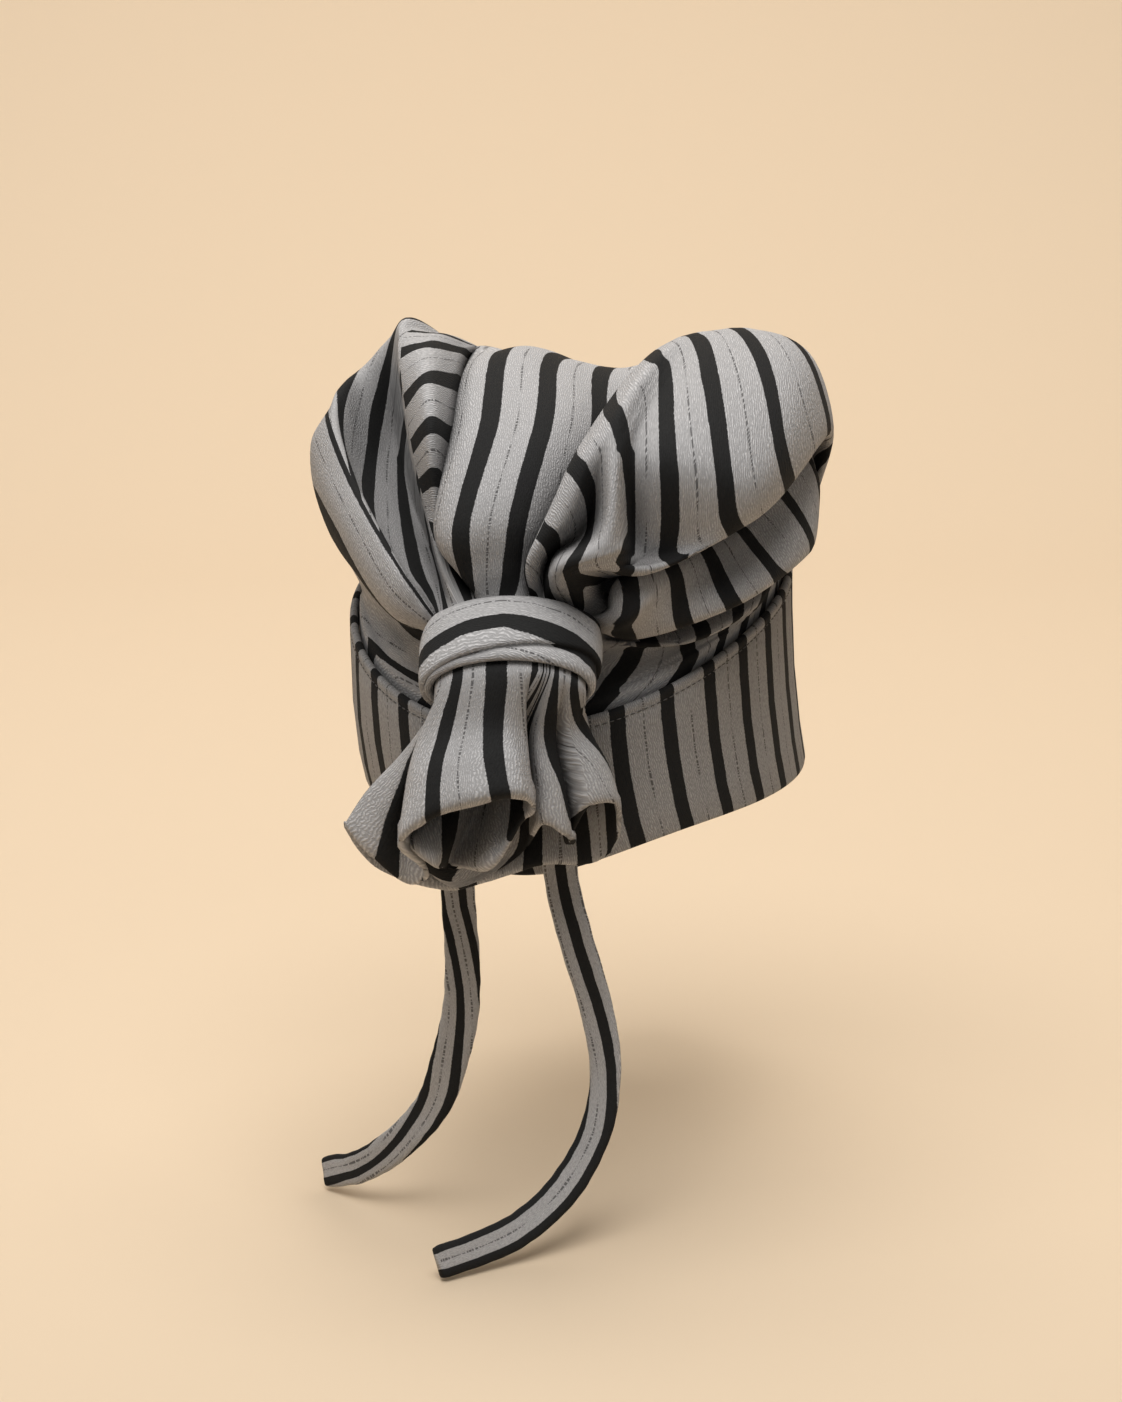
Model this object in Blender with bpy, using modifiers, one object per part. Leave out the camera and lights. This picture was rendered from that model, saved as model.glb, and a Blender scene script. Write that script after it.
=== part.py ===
"""Draped beanie: an oval band, one gathered crown sheet with two high folds, a wrapped
knot ring, a pleated knot tail and two flat ties. Lengths in metres, +Z up, the knot on -Y.
The origin is the middle of the head opening, level with the sides of the rim."""
import math

import bpy
import numpy as np

for old in list(bpy.data.objects):
    bpy.data.objects.remove(old, do_unlink=True)

# Band: an oval sleeve round the head
HEAD_WIDTH = 0.158
HEAD_LENGTH = 0.198
BAND_WALL = 0.003
BAND_FLARE = 0.0006
BAND_SAG = 0.0056
BAND_SAG_POWER = 2.5
RIM_DIP = 0.016
RIM_DIP_SPREAD = math.radians(32)
BAND_FRONT_TOP = 0.0375
BAND_BACK_RISE = 0.040
BAND_SIDE_RISE = 0.013
BAND_STEPS = 60

# Crown: one cloth sheet, its shares below are of these three sizes
CLOTH = 0.002
SEAT_GAP = 0.0004
HEM_TUCK = 0.008
DRAPE_TURN = math.radians(15)
CROWN_OVERHANG = 0.021
CROWN_AHEAD = 0.001
CROWN_ABOVE_BAND = 0.1275
CROWN_HALF_WIDTH = HEAD_WIDTH / 2 + CROWN_OVERHANG
CROWN_REACH = HEAD_LENGTH / 2 + CROWN_AHEAD
CROWN_HEIGHT = BAND_FRONT_TOP + CROWN_ABOVE_BAND
HEM_LIP = 0.003
NECK_PLACE = 0.45
BACK_PUFF = 0.014
BACK_FULL = 0.040
BACK_WAVES = 14
BACK_GATHER = 0.30

# Knot ring and the throat that runs through it
KNOT_ACROSS = -0.023
KNOT_AHEAD = 0.014
KNOT_ABOVE_BAND = 0.0265
KNOT_TOWARD = HEAD_LENGTH / 2 + KNOT_AHEAD
KNOT_UP = BAND_FRONT_TOP + KNOT_ABOVE_BAND
RING_SLOPE = math.radians(32)
RING_HALF_WIDTH = 0.026
RING_HALF_DEPTH = 0.013
RING_LENGTH = 0.029
RING_WALL = 0.0048
RING_STEPS = 40
THROAT_INSIDE = 0.002
THROAT_CLEAR = 0.002
LOW_CLEAR = 0.005

# Knot tail: its shares below are of these sizes, measured from the knot's centre
TAIL_HALF_WIDTH = 0.050
TAIL_REACH = 0.040
TAIL_DROP = 0.075

# Ties: two flat strips
TIE_WIDTH = 0.012
TIE_THICK = 0.003
TIE_POINTS = 32


def turned(points):
    """From the drape's frame (across, toward, up) to the hat's own frame."""
    p = np.asarray(points, float)
    c = math.cos(DRAPE_TURN)
    s = math.sin(DRAPE_TURN)
    across = p[..., 0]
    away = -p[..., 1]
    return np.stack([across * c - away * s, across * s + away * c, p[..., 2]], -1)


def unturned(points):
    """From the hat's own frame back to the drape's frame."""
    p = np.asarray(points, float)
    c = math.cos(DRAPE_TURN)
    s = math.sin(DRAPE_TURN)
    across = p[..., 0] * c + p[..., 1] * s
    away = -p[..., 0] * s + p[..., 1] * c
    return np.stack([across, -away, p[..., 2]], -1)


def rim_height(angle):
    """The rim is level at the sides and dips at the front."""
    a = (np.asarray(angle, float) + math.pi) % (2 * math.pi) - math.pi
    return -RIM_DIP * np.exp(-(a / RIM_DIP_SPREAD) ** 2)


def band_top(angle):
    """The top edge climbs from the front to the back."""
    a = np.asarray(angle, float)
    return BAND_FRONT_TOP + BAND_BACK_RISE * (1 - np.cos(a)) / 2 + BAND_SIDE_RISE * np.sin(a) ** 2


def on_oval(angle, inset, up):
    """A point of the head's oval moved in by inset; angle 0 is the front."""
    a = np.asarray(angle, float)
    x = (HEAD_WIDTH / 2 - inset) * np.sin(a)
    y = -(HEAD_LENGTH / 2 - inset) * np.cos(a)
    return np.stack([x, y, up + 0 * a], -1)


def smooth_line(points, counts, closed=False):
    """A smooth line through points, with counts samples per span."""
    p = np.asarray(points, float)
    if closed:
        q = np.concatenate([p[-1:], p, p[:2]])
        spans = len(p)
    else:
        q = np.concatenate([2 * p[:1] - p[1:2], p, 2 * p[-1:] - p[-2:-1]])
        spans = len(p) - 1
    counts = [counts] * spans if isinstance(counts, int) else list(counts)

    def knot(u, v):
        return np.maximum(np.sqrt(np.linalg.norm(v - u, axis=-1, keepdims=True)), 1e-4)

    out = []
    for i in range(spans):
        a, b, c, d = q[i], q[i + 1], q[i + 2], q[i + 3]
        t1 = knot(a, b)
        t2 = t1 + knot(b, c)
        t3 = t2 + knot(c, d)
        for k in range(counts[i]):
            t = t1 + (t2 - t1) * k / counts[i]
            ab = ((t1 - t) * a + t * b) / t1
            bc = ((t2 - t) * b + (t - t1) * c) / (t2 - t1)
            cd = ((t3 - t) * c + (t - t2) * d) / (t3 - t2)
            abc = ((t2 - t) * ab + t * bc) / t2
            bcd = ((t3 - t) * bc + (t - t1) * cd) / (t3 - t1)
            out.append(((t2 - t) * abc + (t - t1) * bcd) / (t2 - t1))
    if not closed:
        out.append(p[-1])
    return np.array(out)


collection = bpy.data.collections.new("beanie")
bpy.context.scene.collection.children.link(collection)


def cloth_material(name, colour):
    material = bpy.data.materials.new(name)
    material.use_nodes = True
    shader = material.node_tree.nodes["Principled BSDF"]
    shader.inputs["Base Color"].default_value = (*colour, 1.0)
    shader.inputs["Roughness"].default_value = 0.85
    return material


striped = cloth_material("striped_cloth", (0.42, 0.40, 0.38))


def add_object(name, data):
    if isinstance(data, bpy.types.Mesh):
        data.shade_smooth()
    data.materials.append(striped)
    thing = bpy.data.objects.new(name, data)
    collection.objects.link(thing)
    return thing


def add_sheet(name, grid):
    """A cloth wall of even thickness about a sheet that is closed round its first axis."""
    around, deep = grid.shape[:2]
    faces = []
    for i in range(around):
        j = (i + 1) % around
        for k in range(deep - 1):
            faces.append((i * deep + k, j * deep + k, j * deep + k + 1, i * deep + k + 1))
    mesh = bpy.data.meshes.new(name)
    mesh.from_pydata([tuple(point) for point in grid.reshape(-1, 3)], [], faces)
    thing = add_object(name, mesh)
    wall = thing.modifiers.new("cloth", "SOLIDIFY")
    wall.thickness = CLOTH
    wall.offset = 0.0
    return thing


def add_solid(name, sections):
    """A closed body from closed sections set round a ring."""
    around, deep = sections.shape[:2]
    faces = []
    for i in range(around):
        j = (i + 1) % around
        for k in range(deep):
            m = (k + 1) % deep
            faces.append((i * deep + k, j * deep + k, j * deep + m, i * deep + m))
    mesh = bpy.data.meshes.new(name)
    mesh.from_pydata([tuple(point) for point in sections.reshape(-1, 3)], [], faces)
    return add_object(name, mesh)


# Section of the band: name, how far up between rim and top edge, how far out from the head in walls
BAND_SECTION = (
    ("inner_rim", 0.02, 0.0),
    ("rim_turn", 0.0, 0.5),
    ("outer_rim", 0.02, 1.0),
    ("outer_mid", 0.50, 1.08),
    ("outer_top", 0.98, 1.0),
    ("top_turn", 1.0, 0.5),
    ("inner_top", 0.98, 0.0),
    ("inner_mid", 0.50, 0.0),
)


def build_band():
    angles = np.arange(BAND_STEPS) * 2 * math.pi / BAND_STEPS
    low = rim_height(angles)
    high = band_top(angles)
    sections = []
    side = turned(np.array([1.0, 0.0, 0.0]))
    for _, share, out in BAND_SECTION:
        flare = BAND_FLARE * (1 - share) ** 2
        level = on_oval(angles, -(out * BAND_WALL + flare), low + (high - low) * share)
        sections.append(level + side * BAND_SAG * (1 - share) ** BAND_SAG_POWER)
    return add_solid("band", np.array(sections).transpose(1, 0, 2))


# Each fold line of the crown runs from the knot's throat over the crown to the band's top edge.
# near, mid and ridge are (across, toward, up) in shares of the crown's three sizes;
# the throat angle is 0 on the right and 90 on top, the hem angle 0 at the front; dip is
# how far the line dips between the knot and near, in shares of the crown's reach.
CROWN_FOLDS = (
    ("roll_low", 196, 0.00, (-0.62, 0.86, 0.44), (-0.82, 0.50, 0.53), (-0.92, 0.05, 0.58), -92),
    ("roll_crest", 188, -0.01, (-0.64, 0.93, 0.50), (-0.86, 0.52, 0.65), (-0.965, 0.06, 0.74), -110),
    ("roll_lip", 180, 0.00, (-0.60, 0.94, 0.545), (-0.79, 0.57, 0.70), (-0.895, 0.13, 0.82), -124),
    ("roll_return", 172, 0.04, (-0.59, 0.81, 0.52), (-0.80, 0.36, 0.69), (-0.86, 0.04, 0.86), -133),
    ("pocket_in", 164, 0.04, (-0.54, 0.71, 0.525), (-0.74, 0.18, 0.71), (-0.79, -0.05, 0.895), -141),
    ("pocket_floor", 156, 0.04, (-0.49, 0.65, 0.535), (-0.67, 0.11, 0.75), (-0.69, -0.04, 0.955), -150),
    ("peak", 147, 0.03, (-0.48, 0.78, 0.565), (-0.62, 0.30, 0.80), (-0.635, 0.00, 1.005), -158),
    ("small_roll", 138, -0.01, (-0.46, 0.95, 0.605), (-0.575, 0.63, 0.80), (-0.605, 0.10, 0.99), -165),
    ("shoulder", 129, 0.00, (-0.43, 0.91, 0.61), (-0.455, 0.60, 0.84), (-0.49, 0.07, 0.965), -171),
    ("shoulder_valley", 121, 0.06, (-0.41, 0.74, 0.60), (-0.37, 0.10, 0.78), (-0.36, -0.14, 0.90), -177),
    ("centre_left", 112, 0.00, (-0.405, 1.00, 0.635), (-0.375, 0.73, 0.81), (-0.305, 0.17, 0.95), 178),
    ("centre_a", 102, 0.00, (-0.33, 1.05, 0.665), (-0.24, 0.76, 0.835), (-0.20, 0.15, 0.955), 172),
    ("centre_b", 91, 0.00, (-0.21, 1.04, 0.665), (-0.08, 0.74, 0.835), (-0.04, 0.11, 0.925), 166),
    ("centre_right", 80, 0.01, (-0.12, 0.96, 0.64), (0.10, 0.60, 0.80), (0.15, 0.05, 0.90), 160),
    ("centre_tuck", 72, 0.07, (-0.05, 0.84, 0.61), (0.16, 0.50, 0.78), (0.30, -0.03, 0.915), 155),
    ("turn_edge", 64, 0.06, (-0.10, 1.10, 0.59), (0.00, 0.93, 0.775), (0.34, 0.14, 0.96), 149),
    ("turn_top", 57, 0.17, (-0.02, 1.20, 0.595), (0.075, 1.03, 0.80), (0.42, 0.14, 0.98), 143),
    ("turn_valley", 49, 0.16, (0.08, 1.10, 0.585), (0.15, 0.84, 0.77), (0.50, 0.12, 0.985), 137),
    ("lobe_a", 41, 0.17, (0.16, 1.12, 0.58), (0.35, 0.96, 0.80), (0.63, 0.08, 0.99), 130),
    ("lobe_crest", 32, 0.15, (0.25, 1.10, 0.57), (0.57, 1.00, 0.73), (0.84, 0.05, 0.935), 120),
    ("lobe_lip", 24, 0.10, (0.27, 1.02, 0.54), (0.60, 0.92, 0.66), (0.925, 0.10, 0.77), 112),
    ("lobe_under", 15, 0.02, (0.20, 0.80, 0.53), (0.50, 0.52, 0.685), (0.84, -0.06, 0.74), 105),
    ("tuck_top", 6, 0.06, (0.21, 0.80, 0.475), (0.55, 0.67, 0.585), (0.88, 0.06, 0.65), 99),
    ("tuck_crest", -4, 0.00, (0.19, 0.91, 0.42), (0.55, 0.85, 0.485), (0.84, 0.23, 0.535), 93),
    ("tuck_under", -15, 0.02, (0.15, 0.77, 0.405), (0.48, 0.65, 0.445), (0.735, 0.29, 0.475), 84),
    ("low_panel", -30, 0.00, (0.12, 0.81, 0.385), (0.41, 0.75, 0.385), (0.635, 0.47, 0.42), 72),
)

# Short lines below the knot: throat angle, hem angle, how far they hang back in shares
# of the crown's reach
LOW_FOLDS = (
    ("right_low", -46, 52, 0.02),
    ("front_right", -66, 26, 0.06),
    ("front_low", -90, 0, 0.09),
    ("front_left", -112, -20, 0.07),
    ("cheek_low", -132, -40, 0.04),
    ("cheek_high", -150, -64, 0.0),
)

LOW_PLACES = (0.12, 0.3, 0.5, 0.75, 0.9)

RING_AXIS = np.array([0.0, math.cos(RING_SLOPE), -math.sin(RING_SLOPE)])
RING_RISE = np.array([0.0, math.sin(RING_SLOPE), math.cos(RING_SLOPE)])
KNOT_CENTRE = np.array([KNOT_ACROSS, KNOT_TOWARD, KNOT_UP])
CROWN_SIZE = np.array([CROWN_HALF_WIDTH, CROWN_REACH, CROWN_HEIGHT])
THROAT_INSET = SEAT_GAP + CLOTH / 2


def on_ring(degrees, along, lift):
    """A point round the knot's axis; lift is measured from the ring's inner wall."""
    a = np.radians(degrees)
    side = (RING_HALF_WIDTH + lift) * np.cos(a)
    rise = (RING_HALF_DEPTH + lift) * np.sin(a)
    side = np.asarray(side)[..., None] * np.array([1.0, 0.0, 0.0])
    return KNOT_CENTRE + side + np.asarray(rise)[..., None] * RING_RISE + np.asarray(along)[..., None] * RING_AXIS


def hem(angle, up):
    """A point of the crown's hem just inside the band, up from the band's top edge."""
    return unturned(on_oval(angle, SEAT_GAP + CLOTH / 2, band_top(angle) + up))


def outward(angle):
    return unturned(np.array([math.sin(angle), -math.cos(angle), 0.0]))


def crown_line(row):
    _, throat, dip, near, mid, ridge, hem_degrees = row
    angle = math.radians(hem_degrees)
    near, mid, ridge = (np.array(share) * CROWN_SIZE for share in (near, mid, ridge))
    over = hem(angle, HEM_LIP)
    backness = max(0.0, -math.cos(angle))
    waves = 1 + BACK_GATHER * math.cos(BACK_WAVES * angle)
    puff = waves * BACK_PUFF * (0.25 + backness) * min(1.0, max(0.0, ridge[2] - over[2]) / BACK_FULL)
    drop = 0.35 * ridge + 0.65 * over + outward(angle) * puff
    drop[2] = 0.5 * ridge[2] + 0.5 * over[2]
    inside = on_ring(throat, -THROAT_INSIDE, -THROAT_INSET)
    mouth = on_ring(throat, -RING_LENGTH / 2 - THROAT_CLEAR, -THROAT_INSET)
    neck = mouth + NECK_PLACE * (near - mouth) - np.array([0.0, dip * CROWN_REACH, 0.0])
    return np.array([inside, mouth, neck, near, mid, ridge, drop, over, hem(angle, -HEM_TUCK)])


def low_line(row):
    _, throat, hem_degrees, back = row
    angle = math.radians(hem_degrees)
    over = hem(angle, HEM_LIP)
    inside = on_ring(throat, -THROAT_INSIDE, -THROAT_INSET)
    mouth = on_ring(throat, -RING_LENGTH / 2 - LOW_CLEAR, -THROAT_INSET)
    between = []
    for share in LOW_PLACES:
        point = mouth + (over - mouth) * share
        hang = back * CROWN_REACH * math.sin(math.pi * share ** 0.7)
        between.append(point - np.array([0.0, hang, 0.0]))
    return np.array([inside, mouth, *between, over, hem(angle, -HEM_TUCK)])


def crown_sheet(spans, between):
    """The crown's mid surface as a grid: round the knot, then knot to hem."""
    rows = [crown_line(row) for row in CROWN_FOLDS] + [low_line(row) for row in LOW_FOLDS]
    lines = np.array([smooth_line(row, spans) for row in rows])
    grid = smooth_line(lines, between, closed=True)
    throats = [row[1] for row in CROWN_FOLDS] + [row[1] for row in LOW_FOLDS]
    hems = [row[-1] for row in CROWN_FOLDS] + [row[2] for row in LOW_FOLDS]
    throats = np.degrees(np.unwrap(np.radians(throats + throats[:1])))
    hems = np.unwrap(np.radians(hems + hems[:1]))
    place = np.arange(len(grid)) / between
    throat_at = np.interp(place, np.arange(len(throats)), throats)
    hem_at = np.interp(place, np.arange(len(hems)), hems)
    grid[:, 0] = on_ring(throat_at, -THROAT_INSIDE, -THROAT_INSET)
    first = spans[0]
    mouth = grid[:, first]
    deep = ((mouth - KNOT_CENTRE) @ RING_AXIS)
    grid[:, first] = on_ring(throat_at, deep, -THROAT_INSET)
    grid[:, -1] = hem(hem_at, -HEM_TUCK)
    grid[:, -1 - spans[-1]] = hem(hem_at, HEM_LIP)
    return turned(grid)


def build_crown():
    return add_sheet("crown", crown_sheet((1, 1, 2, 4, 4, 3, 2, 1), 2))


# Section of the wrapped strip: share of the ring's length, share of its wall
RING_SECTION = (
    ("inner_back", -0.47, 0.0),
    ("back_edge", -0.50, 0.40),
    ("back_round", -0.46, 0.85),
    ("main_back", -0.25, 1.05),
    ("main_front", 0.00, 1.05),
    ("main_lip", 0.12, 0.90),
    ("step", 0.14, 0.58),
    ("second_high", 0.28, 0.72),
    ("front_round", 0.45, 0.62),
    ("front_edge", 0.50, 0.30),
    ("inner_front", 0.47, 0.0),
    ("inner_mid", 0.0, 0.0),
)


def ring_sections(steps, rows):
    degrees = np.arange(steps) * 360 / steps
    lean = 0.10 * np.cos(np.radians(degrees - 20))
    sections = []
    for _, along, lift in rows:
        middle = 1 - (2 * abs(along)) ** 4
        place = (along - lean * middle * (lift > 0)) * RING_LENGTH
        sections.append(on_ring(degrees, place, lift * RING_WALL))
    return turned(np.array(sections).transpose(1, 0, 2))


def build_ring():
    return add_solid("knot_ring", ring_sections(RING_STEPS, RING_SECTION))


# Pleat lines of the tail hang from the throat: mid, low and tip are (across, toward, down) in shares
# of the tail's three sizes from the knot's centre; turn is how far the tip rolls inward.
TAIL_PLEATS = (
    ("back_left", 216, (-0.56, 0.00, 0.50), (-0.84, -0.06, 0.80), (-0.93, -0.08, 0.96), 0.0),
    ("flap_edge", 198, (-0.73, 0.17, 0.42), (-0.98, 0.15, 0.61), (-1.12, 0.12, 0.75), 0.03),
    ("flap_face", 186, (-0.66, 0.28, 0.43), (-0.84, 0.30, 0.69), (-0.92, 0.30, 0.87), 0.05),
    ("flap_inner", 176, (-0.57, 0.16, 0.46), (-0.70, 0.18, 0.77), (-0.69, 0.20, 1.01), 0.03),
    ("tuck_left", 168, (-0.54, 0.24, 0.44), (-0.58, 0.32, 0.72), (-0.57, 0.36, 0.93), 0.0),
    ("roll_left", 158, (-0.62, 0.42, 0.35), (-0.69, 0.62, 0.55), (-0.73, 0.82, 0.72), 0.14),
    ("roll_a", 138, (-0.47, 0.58, 0.28), (-0.54, 0.80, 0.44), (-0.56, 0.96, 0.60), 0.26),
    ("roll_b", 112, (-0.22, 0.65, 0.24), (-0.25, 0.88, 0.38), (-0.22, 1.03, 0.505), 0.28),
    ("roll_c", 90, (-0.02, 0.62, 0.24), (0.02, 0.83, 0.37), (0.06, 0.96, 0.485), 0.24),
    ("roll_right", 80, (0.10, 0.48, 0.30), (0.13, 0.62, 0.46), (0.155, 0.72, 0.59), 0.1),
    ("inner_right", 74, (0.05, 0.37, 0.34), (0.08, 0.48, 0.54), (0.08, 0.58, 0.71), 0.1),
    ("inner_mid", 70, (-0.06, 0.33, 0.38), (-0.15, 0.42, 0.62), (-0.22, 0.55, 0.86), 0.12),
    ("inner_left", 66, (-0.12, 0.26, 0.42), (-0.32, 0.34, 0.70), (-0.46, 0.48, 0.98), 0.08),
    ("inner_back", 63, (-0.05, 0.19, 0.42), (-0.20, 0.20, 0.70), (-0.30, 0.26, 0.97), 0.0),
    ("tuck_right", 60, (0.07, 0.19, 0.38), (0.07, 0.18, 0.60), (0.06, 0.19, 0.86), 0.0),
    ("pleat_a", 55, (0.18, 0.40, 0.31), (0.21, 0.48, 0.51), (0.23, 0.54, 0.67), 0.06),
    ("pleat_b", 48, (0.29, 0.37, 0.31), (0.36, 0.46, 0.53), (0.41, 0.51, 0.76), 0.06),
    ("tuck_far", 40, (0.25, 0.16, 0.36), (0.32, 0.16, 0.58), (0.38, 0.16, 0.80), 0.0),
    ("pleat_c", 32, (0.40, 0.32, 0.28), (0.48, 0.41, 0.44), (0.53, 0.48, 0.60), 0.08),
    ("pleat_d", 18, (0.50, 0.22, 0.27), (0.64, 0.30, 0.44), (0.71, 0.36, 0.61), 0.08),
    ("right_edge", -4, (0.50, 0.08, 0.36), (0.64, 0.10, 0.60), (0.69, 0.10, 0.85), 0.0),
    ("back_right", -32, (0.36, 0.00, 0.47), (0.46, 0.00, 0.72), (0.53, 0.04, 0.93), 0.03),
    ("back_a", -64, (0.12, -0.05, 0.50), (0.18, -0.04, 0.75), (0.20, 0.08, 0.94), 0.05),
    ("back_b", -94, (-0.10, -0.06, 0.51), (-0.12, -0.05, 0.78), (-0.14, 0.14, 1.00), 0.06),
    ("back_c", -122, (-0.34, -0.06, 0.52), (-0.42, -0.06, 0.80), (-0.46, 0.08, 1.05), 0.03),
)

TAIL_SIZE = np.array([TAIL_HALF_WIDTH, TAIL_REACH, -TAIL_DROP])


def tail_line(row):
    _, throat, mid, low, tip, turn = row
    mid, low, tip = (KNOT_CENTRE + np.array(share) * TAIL_SIZE for share in (mid, low, tip))
    inside = on_ring(throat, THROAT_INSIDE, -THROAT_INSET)
    mouth = on_ring(throat, RING_LENGTH / 2 + THROAT_CLEAR, -THROAT_INSET)
    under = tip + np.array([0.0, -0.7 * turn, 0.12 * turn]) * TAIL_SIZE
    curl = tip + np.array([0.0, -1.1 * turn, -0.35 * turn]) * TAIL_SIZE
    if turn == 0.0:
        under = tip + (tip - low) * 0.05
        curl = tip + (tip - low) * 0.10
    return np.array([inside, mouth, mid, low, tip, under, curl])


def tail_sheet(spans, between):
    lines = np.array([smooth_line(tail_line(row), spans) for row in TAIL_PLEATS])
    grid = smooth_line(lines, between, closed=True)
    throats = [row[1] for row in TAIL_PLEATS]
    throats = np.degrees(np.unwrap(np.radians(throats + throats[:1])))
    throat_at = np.interp(np.arange(len(grid)) / between, np.arange(len(throats)), throats)
    grid[:, 0] = on_ring(throat_at, THROAT_INSIDE, -THROAT_INSET)
    grid[:, spans[0]] = on_ring(throat_at, RING_LENGTH / 2 + THROAT_CLEAR, -THROAT_INSET)
    return turned(grid)


def build_tail():
    return add_sheet("knot_tail", tail_sheet((1, 2, 3, 2, 1, 1), 3))


# Route of each tie from behind the tail to its tip: across and toward in shares of the
# head opening's half width and half length, and up in shares of the hang below the rim.
TIE_HANG = 0.135
TIES = {
    "tie_left": (
        (-0.54, 1.076, 0.07),
        (-0.525, 1.076, -0.17),
        (-0.51, 1.07, -0.33),
        (-0.52, 1.06, -0.47),
        (-0.57, 1.06, -0.60),
        (-0.64, 1.05, -0.72),
        (-0.80, 1.01, -0.84),
        (-0.98, 0.93, -0.93),
        (-1.15, 0.81, -0.98),
    ),
    "tie_right": (
        (-0.10, 1.043, 0.07),
        (-0.07, 1.046, -0.13),
        (-0.01, 1.08, -0.27),
        (0.08, 1.11, -0.45),
        (0.12, 1.16, -0.60),
        (0.08, 1.24, -0.74),
        (-0.06, 1.35, -0.87),
        (-0.25, 1.47, -0.945),
        (-0.43, 1.57, -0.97),
        (-0.60, 1.66, -0.98),
    ),
}


def tie_route(name):
    """Evenly spaced points of a tie in the hat's frame."""
    size = np.array([HEAD_WIDTH / 2, HEAD_LENGTH / 2, TIE_HANG])
    route = smooth_line(np.array(TIES[name]) * size, 40)
    step = np.linalg.norm(np.diff(route, axis=0), axis=1)
    along = np.concatenate([[0.0], np.cumsum(step)])
    place = np.linspace(0.0, along[-1], TIE_POINTS)
    return turned(np.stack([np.interp(place, along, route[:, k]) for k in range(3)], 1))


def build_tie(name):
    curve = bpy.data.curves.new(name, "CURVE")
    curve.dimensions = "3D"
    curve.bevel_depth = TIE_THICK / 2
    curve.extrude = TIE_WIDTH / 2 - TIE_THICK / 2
    curve.bevel_resolution = 2
    curve.use_fill_caps = True
    points = tie_route(name)
    spline = curve.splines.new("POLY")
    spline.points.add(len(points) - 1)
    for point, place in zip(spline.points, points):
        point.co = (*place, 1.0)
    return add_object(name, curve)


build_band()
build_crown()
build_ring()
build_tail()
build_tie("tie_left")
build_tie("tie_right")
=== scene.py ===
# %% [markdown]
# # A draped, knotted beanie
#
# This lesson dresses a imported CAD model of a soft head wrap. The real wrap has an oval band,
# one large piece of striped cloth that is gathered over the crown, a wrapped knot with a
# pleated tail, and two flat ties. The CAD model gives the places and sizes; this file gives
# the folds, the stripes and the weave.

# %% Load the frame
import math

import bmesh
import bpy
import numpy as np
from mathutils import Matrix, Vector, noise
from mathutils.bvhtree import BVHTree


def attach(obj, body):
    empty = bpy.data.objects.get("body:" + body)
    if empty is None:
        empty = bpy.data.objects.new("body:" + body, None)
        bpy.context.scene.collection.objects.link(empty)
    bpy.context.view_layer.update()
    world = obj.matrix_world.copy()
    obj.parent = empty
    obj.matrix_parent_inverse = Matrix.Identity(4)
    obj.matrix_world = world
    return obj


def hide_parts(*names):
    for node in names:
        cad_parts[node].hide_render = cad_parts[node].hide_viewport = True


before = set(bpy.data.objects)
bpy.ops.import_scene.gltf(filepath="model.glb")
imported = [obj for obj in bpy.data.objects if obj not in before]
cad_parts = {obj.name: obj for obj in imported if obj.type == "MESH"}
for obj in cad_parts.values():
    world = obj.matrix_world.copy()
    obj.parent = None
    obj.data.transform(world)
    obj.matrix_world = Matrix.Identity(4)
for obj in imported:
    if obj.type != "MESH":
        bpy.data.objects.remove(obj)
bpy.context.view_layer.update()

# %% [markdown]
# ## The hat's own sizes
#
# The frame is in metres, with the knot on -Y and +Z up. The head opening is an oval, and the
# band stands on it. These few sizes are the same as in the part's source, so every cloth
# surface below lands on its CAD solid.

# %% Sizes of the hat
HEAD_WIDTH = 0.158
HEAD_LENGTH = 0.198
BAND_WALL = 0.003
BAND_FLARE = 0.0006
SIDE_EASE = 0.0032
BAND_SAG = 0.0056
BAND_SAG_POWER = 2.5
RIM_DIP = 0.016
RIM_DIP_SPREAD = math.radians(32)
BAND_FRONT_TOP = 0.0375
BAND_BACK_RISE = 0.040
BAND_SIDE_RISE = 0.013
CLOTH = 0.0016
SEAT = 0.0014
HEM_TUCK = 0.008
DRAPE_TURN = math.radians(15)
CROWN_SIZE = np.array([HEAD_WIDTH / 2 + 0.021, HEAD_LENGTH / 2 + 0.001, BAND_FRONT_TOP + 0.1275])
KNOT_CENTRE = np.array([-0.023, HEAD_LENGTH / 2 + 0.014, BAND_FRONT_TOP + 0.0265])
RING_SLOPE = math.radians(32)
RING_HALF_WIDTH = 0.026
RING_HALF_DEPTH = 0.013
RING_LENGTH = 0.029
RING_WALL = 0.0048
TAIL_SIZE = np.array([0.050, 0.040, -0.075])
# Repeat of the stripes, and width of one charcoal stripe
STRIPE_PITCH = 0.020
STRIPE_WIDTH = 0.0064
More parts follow.
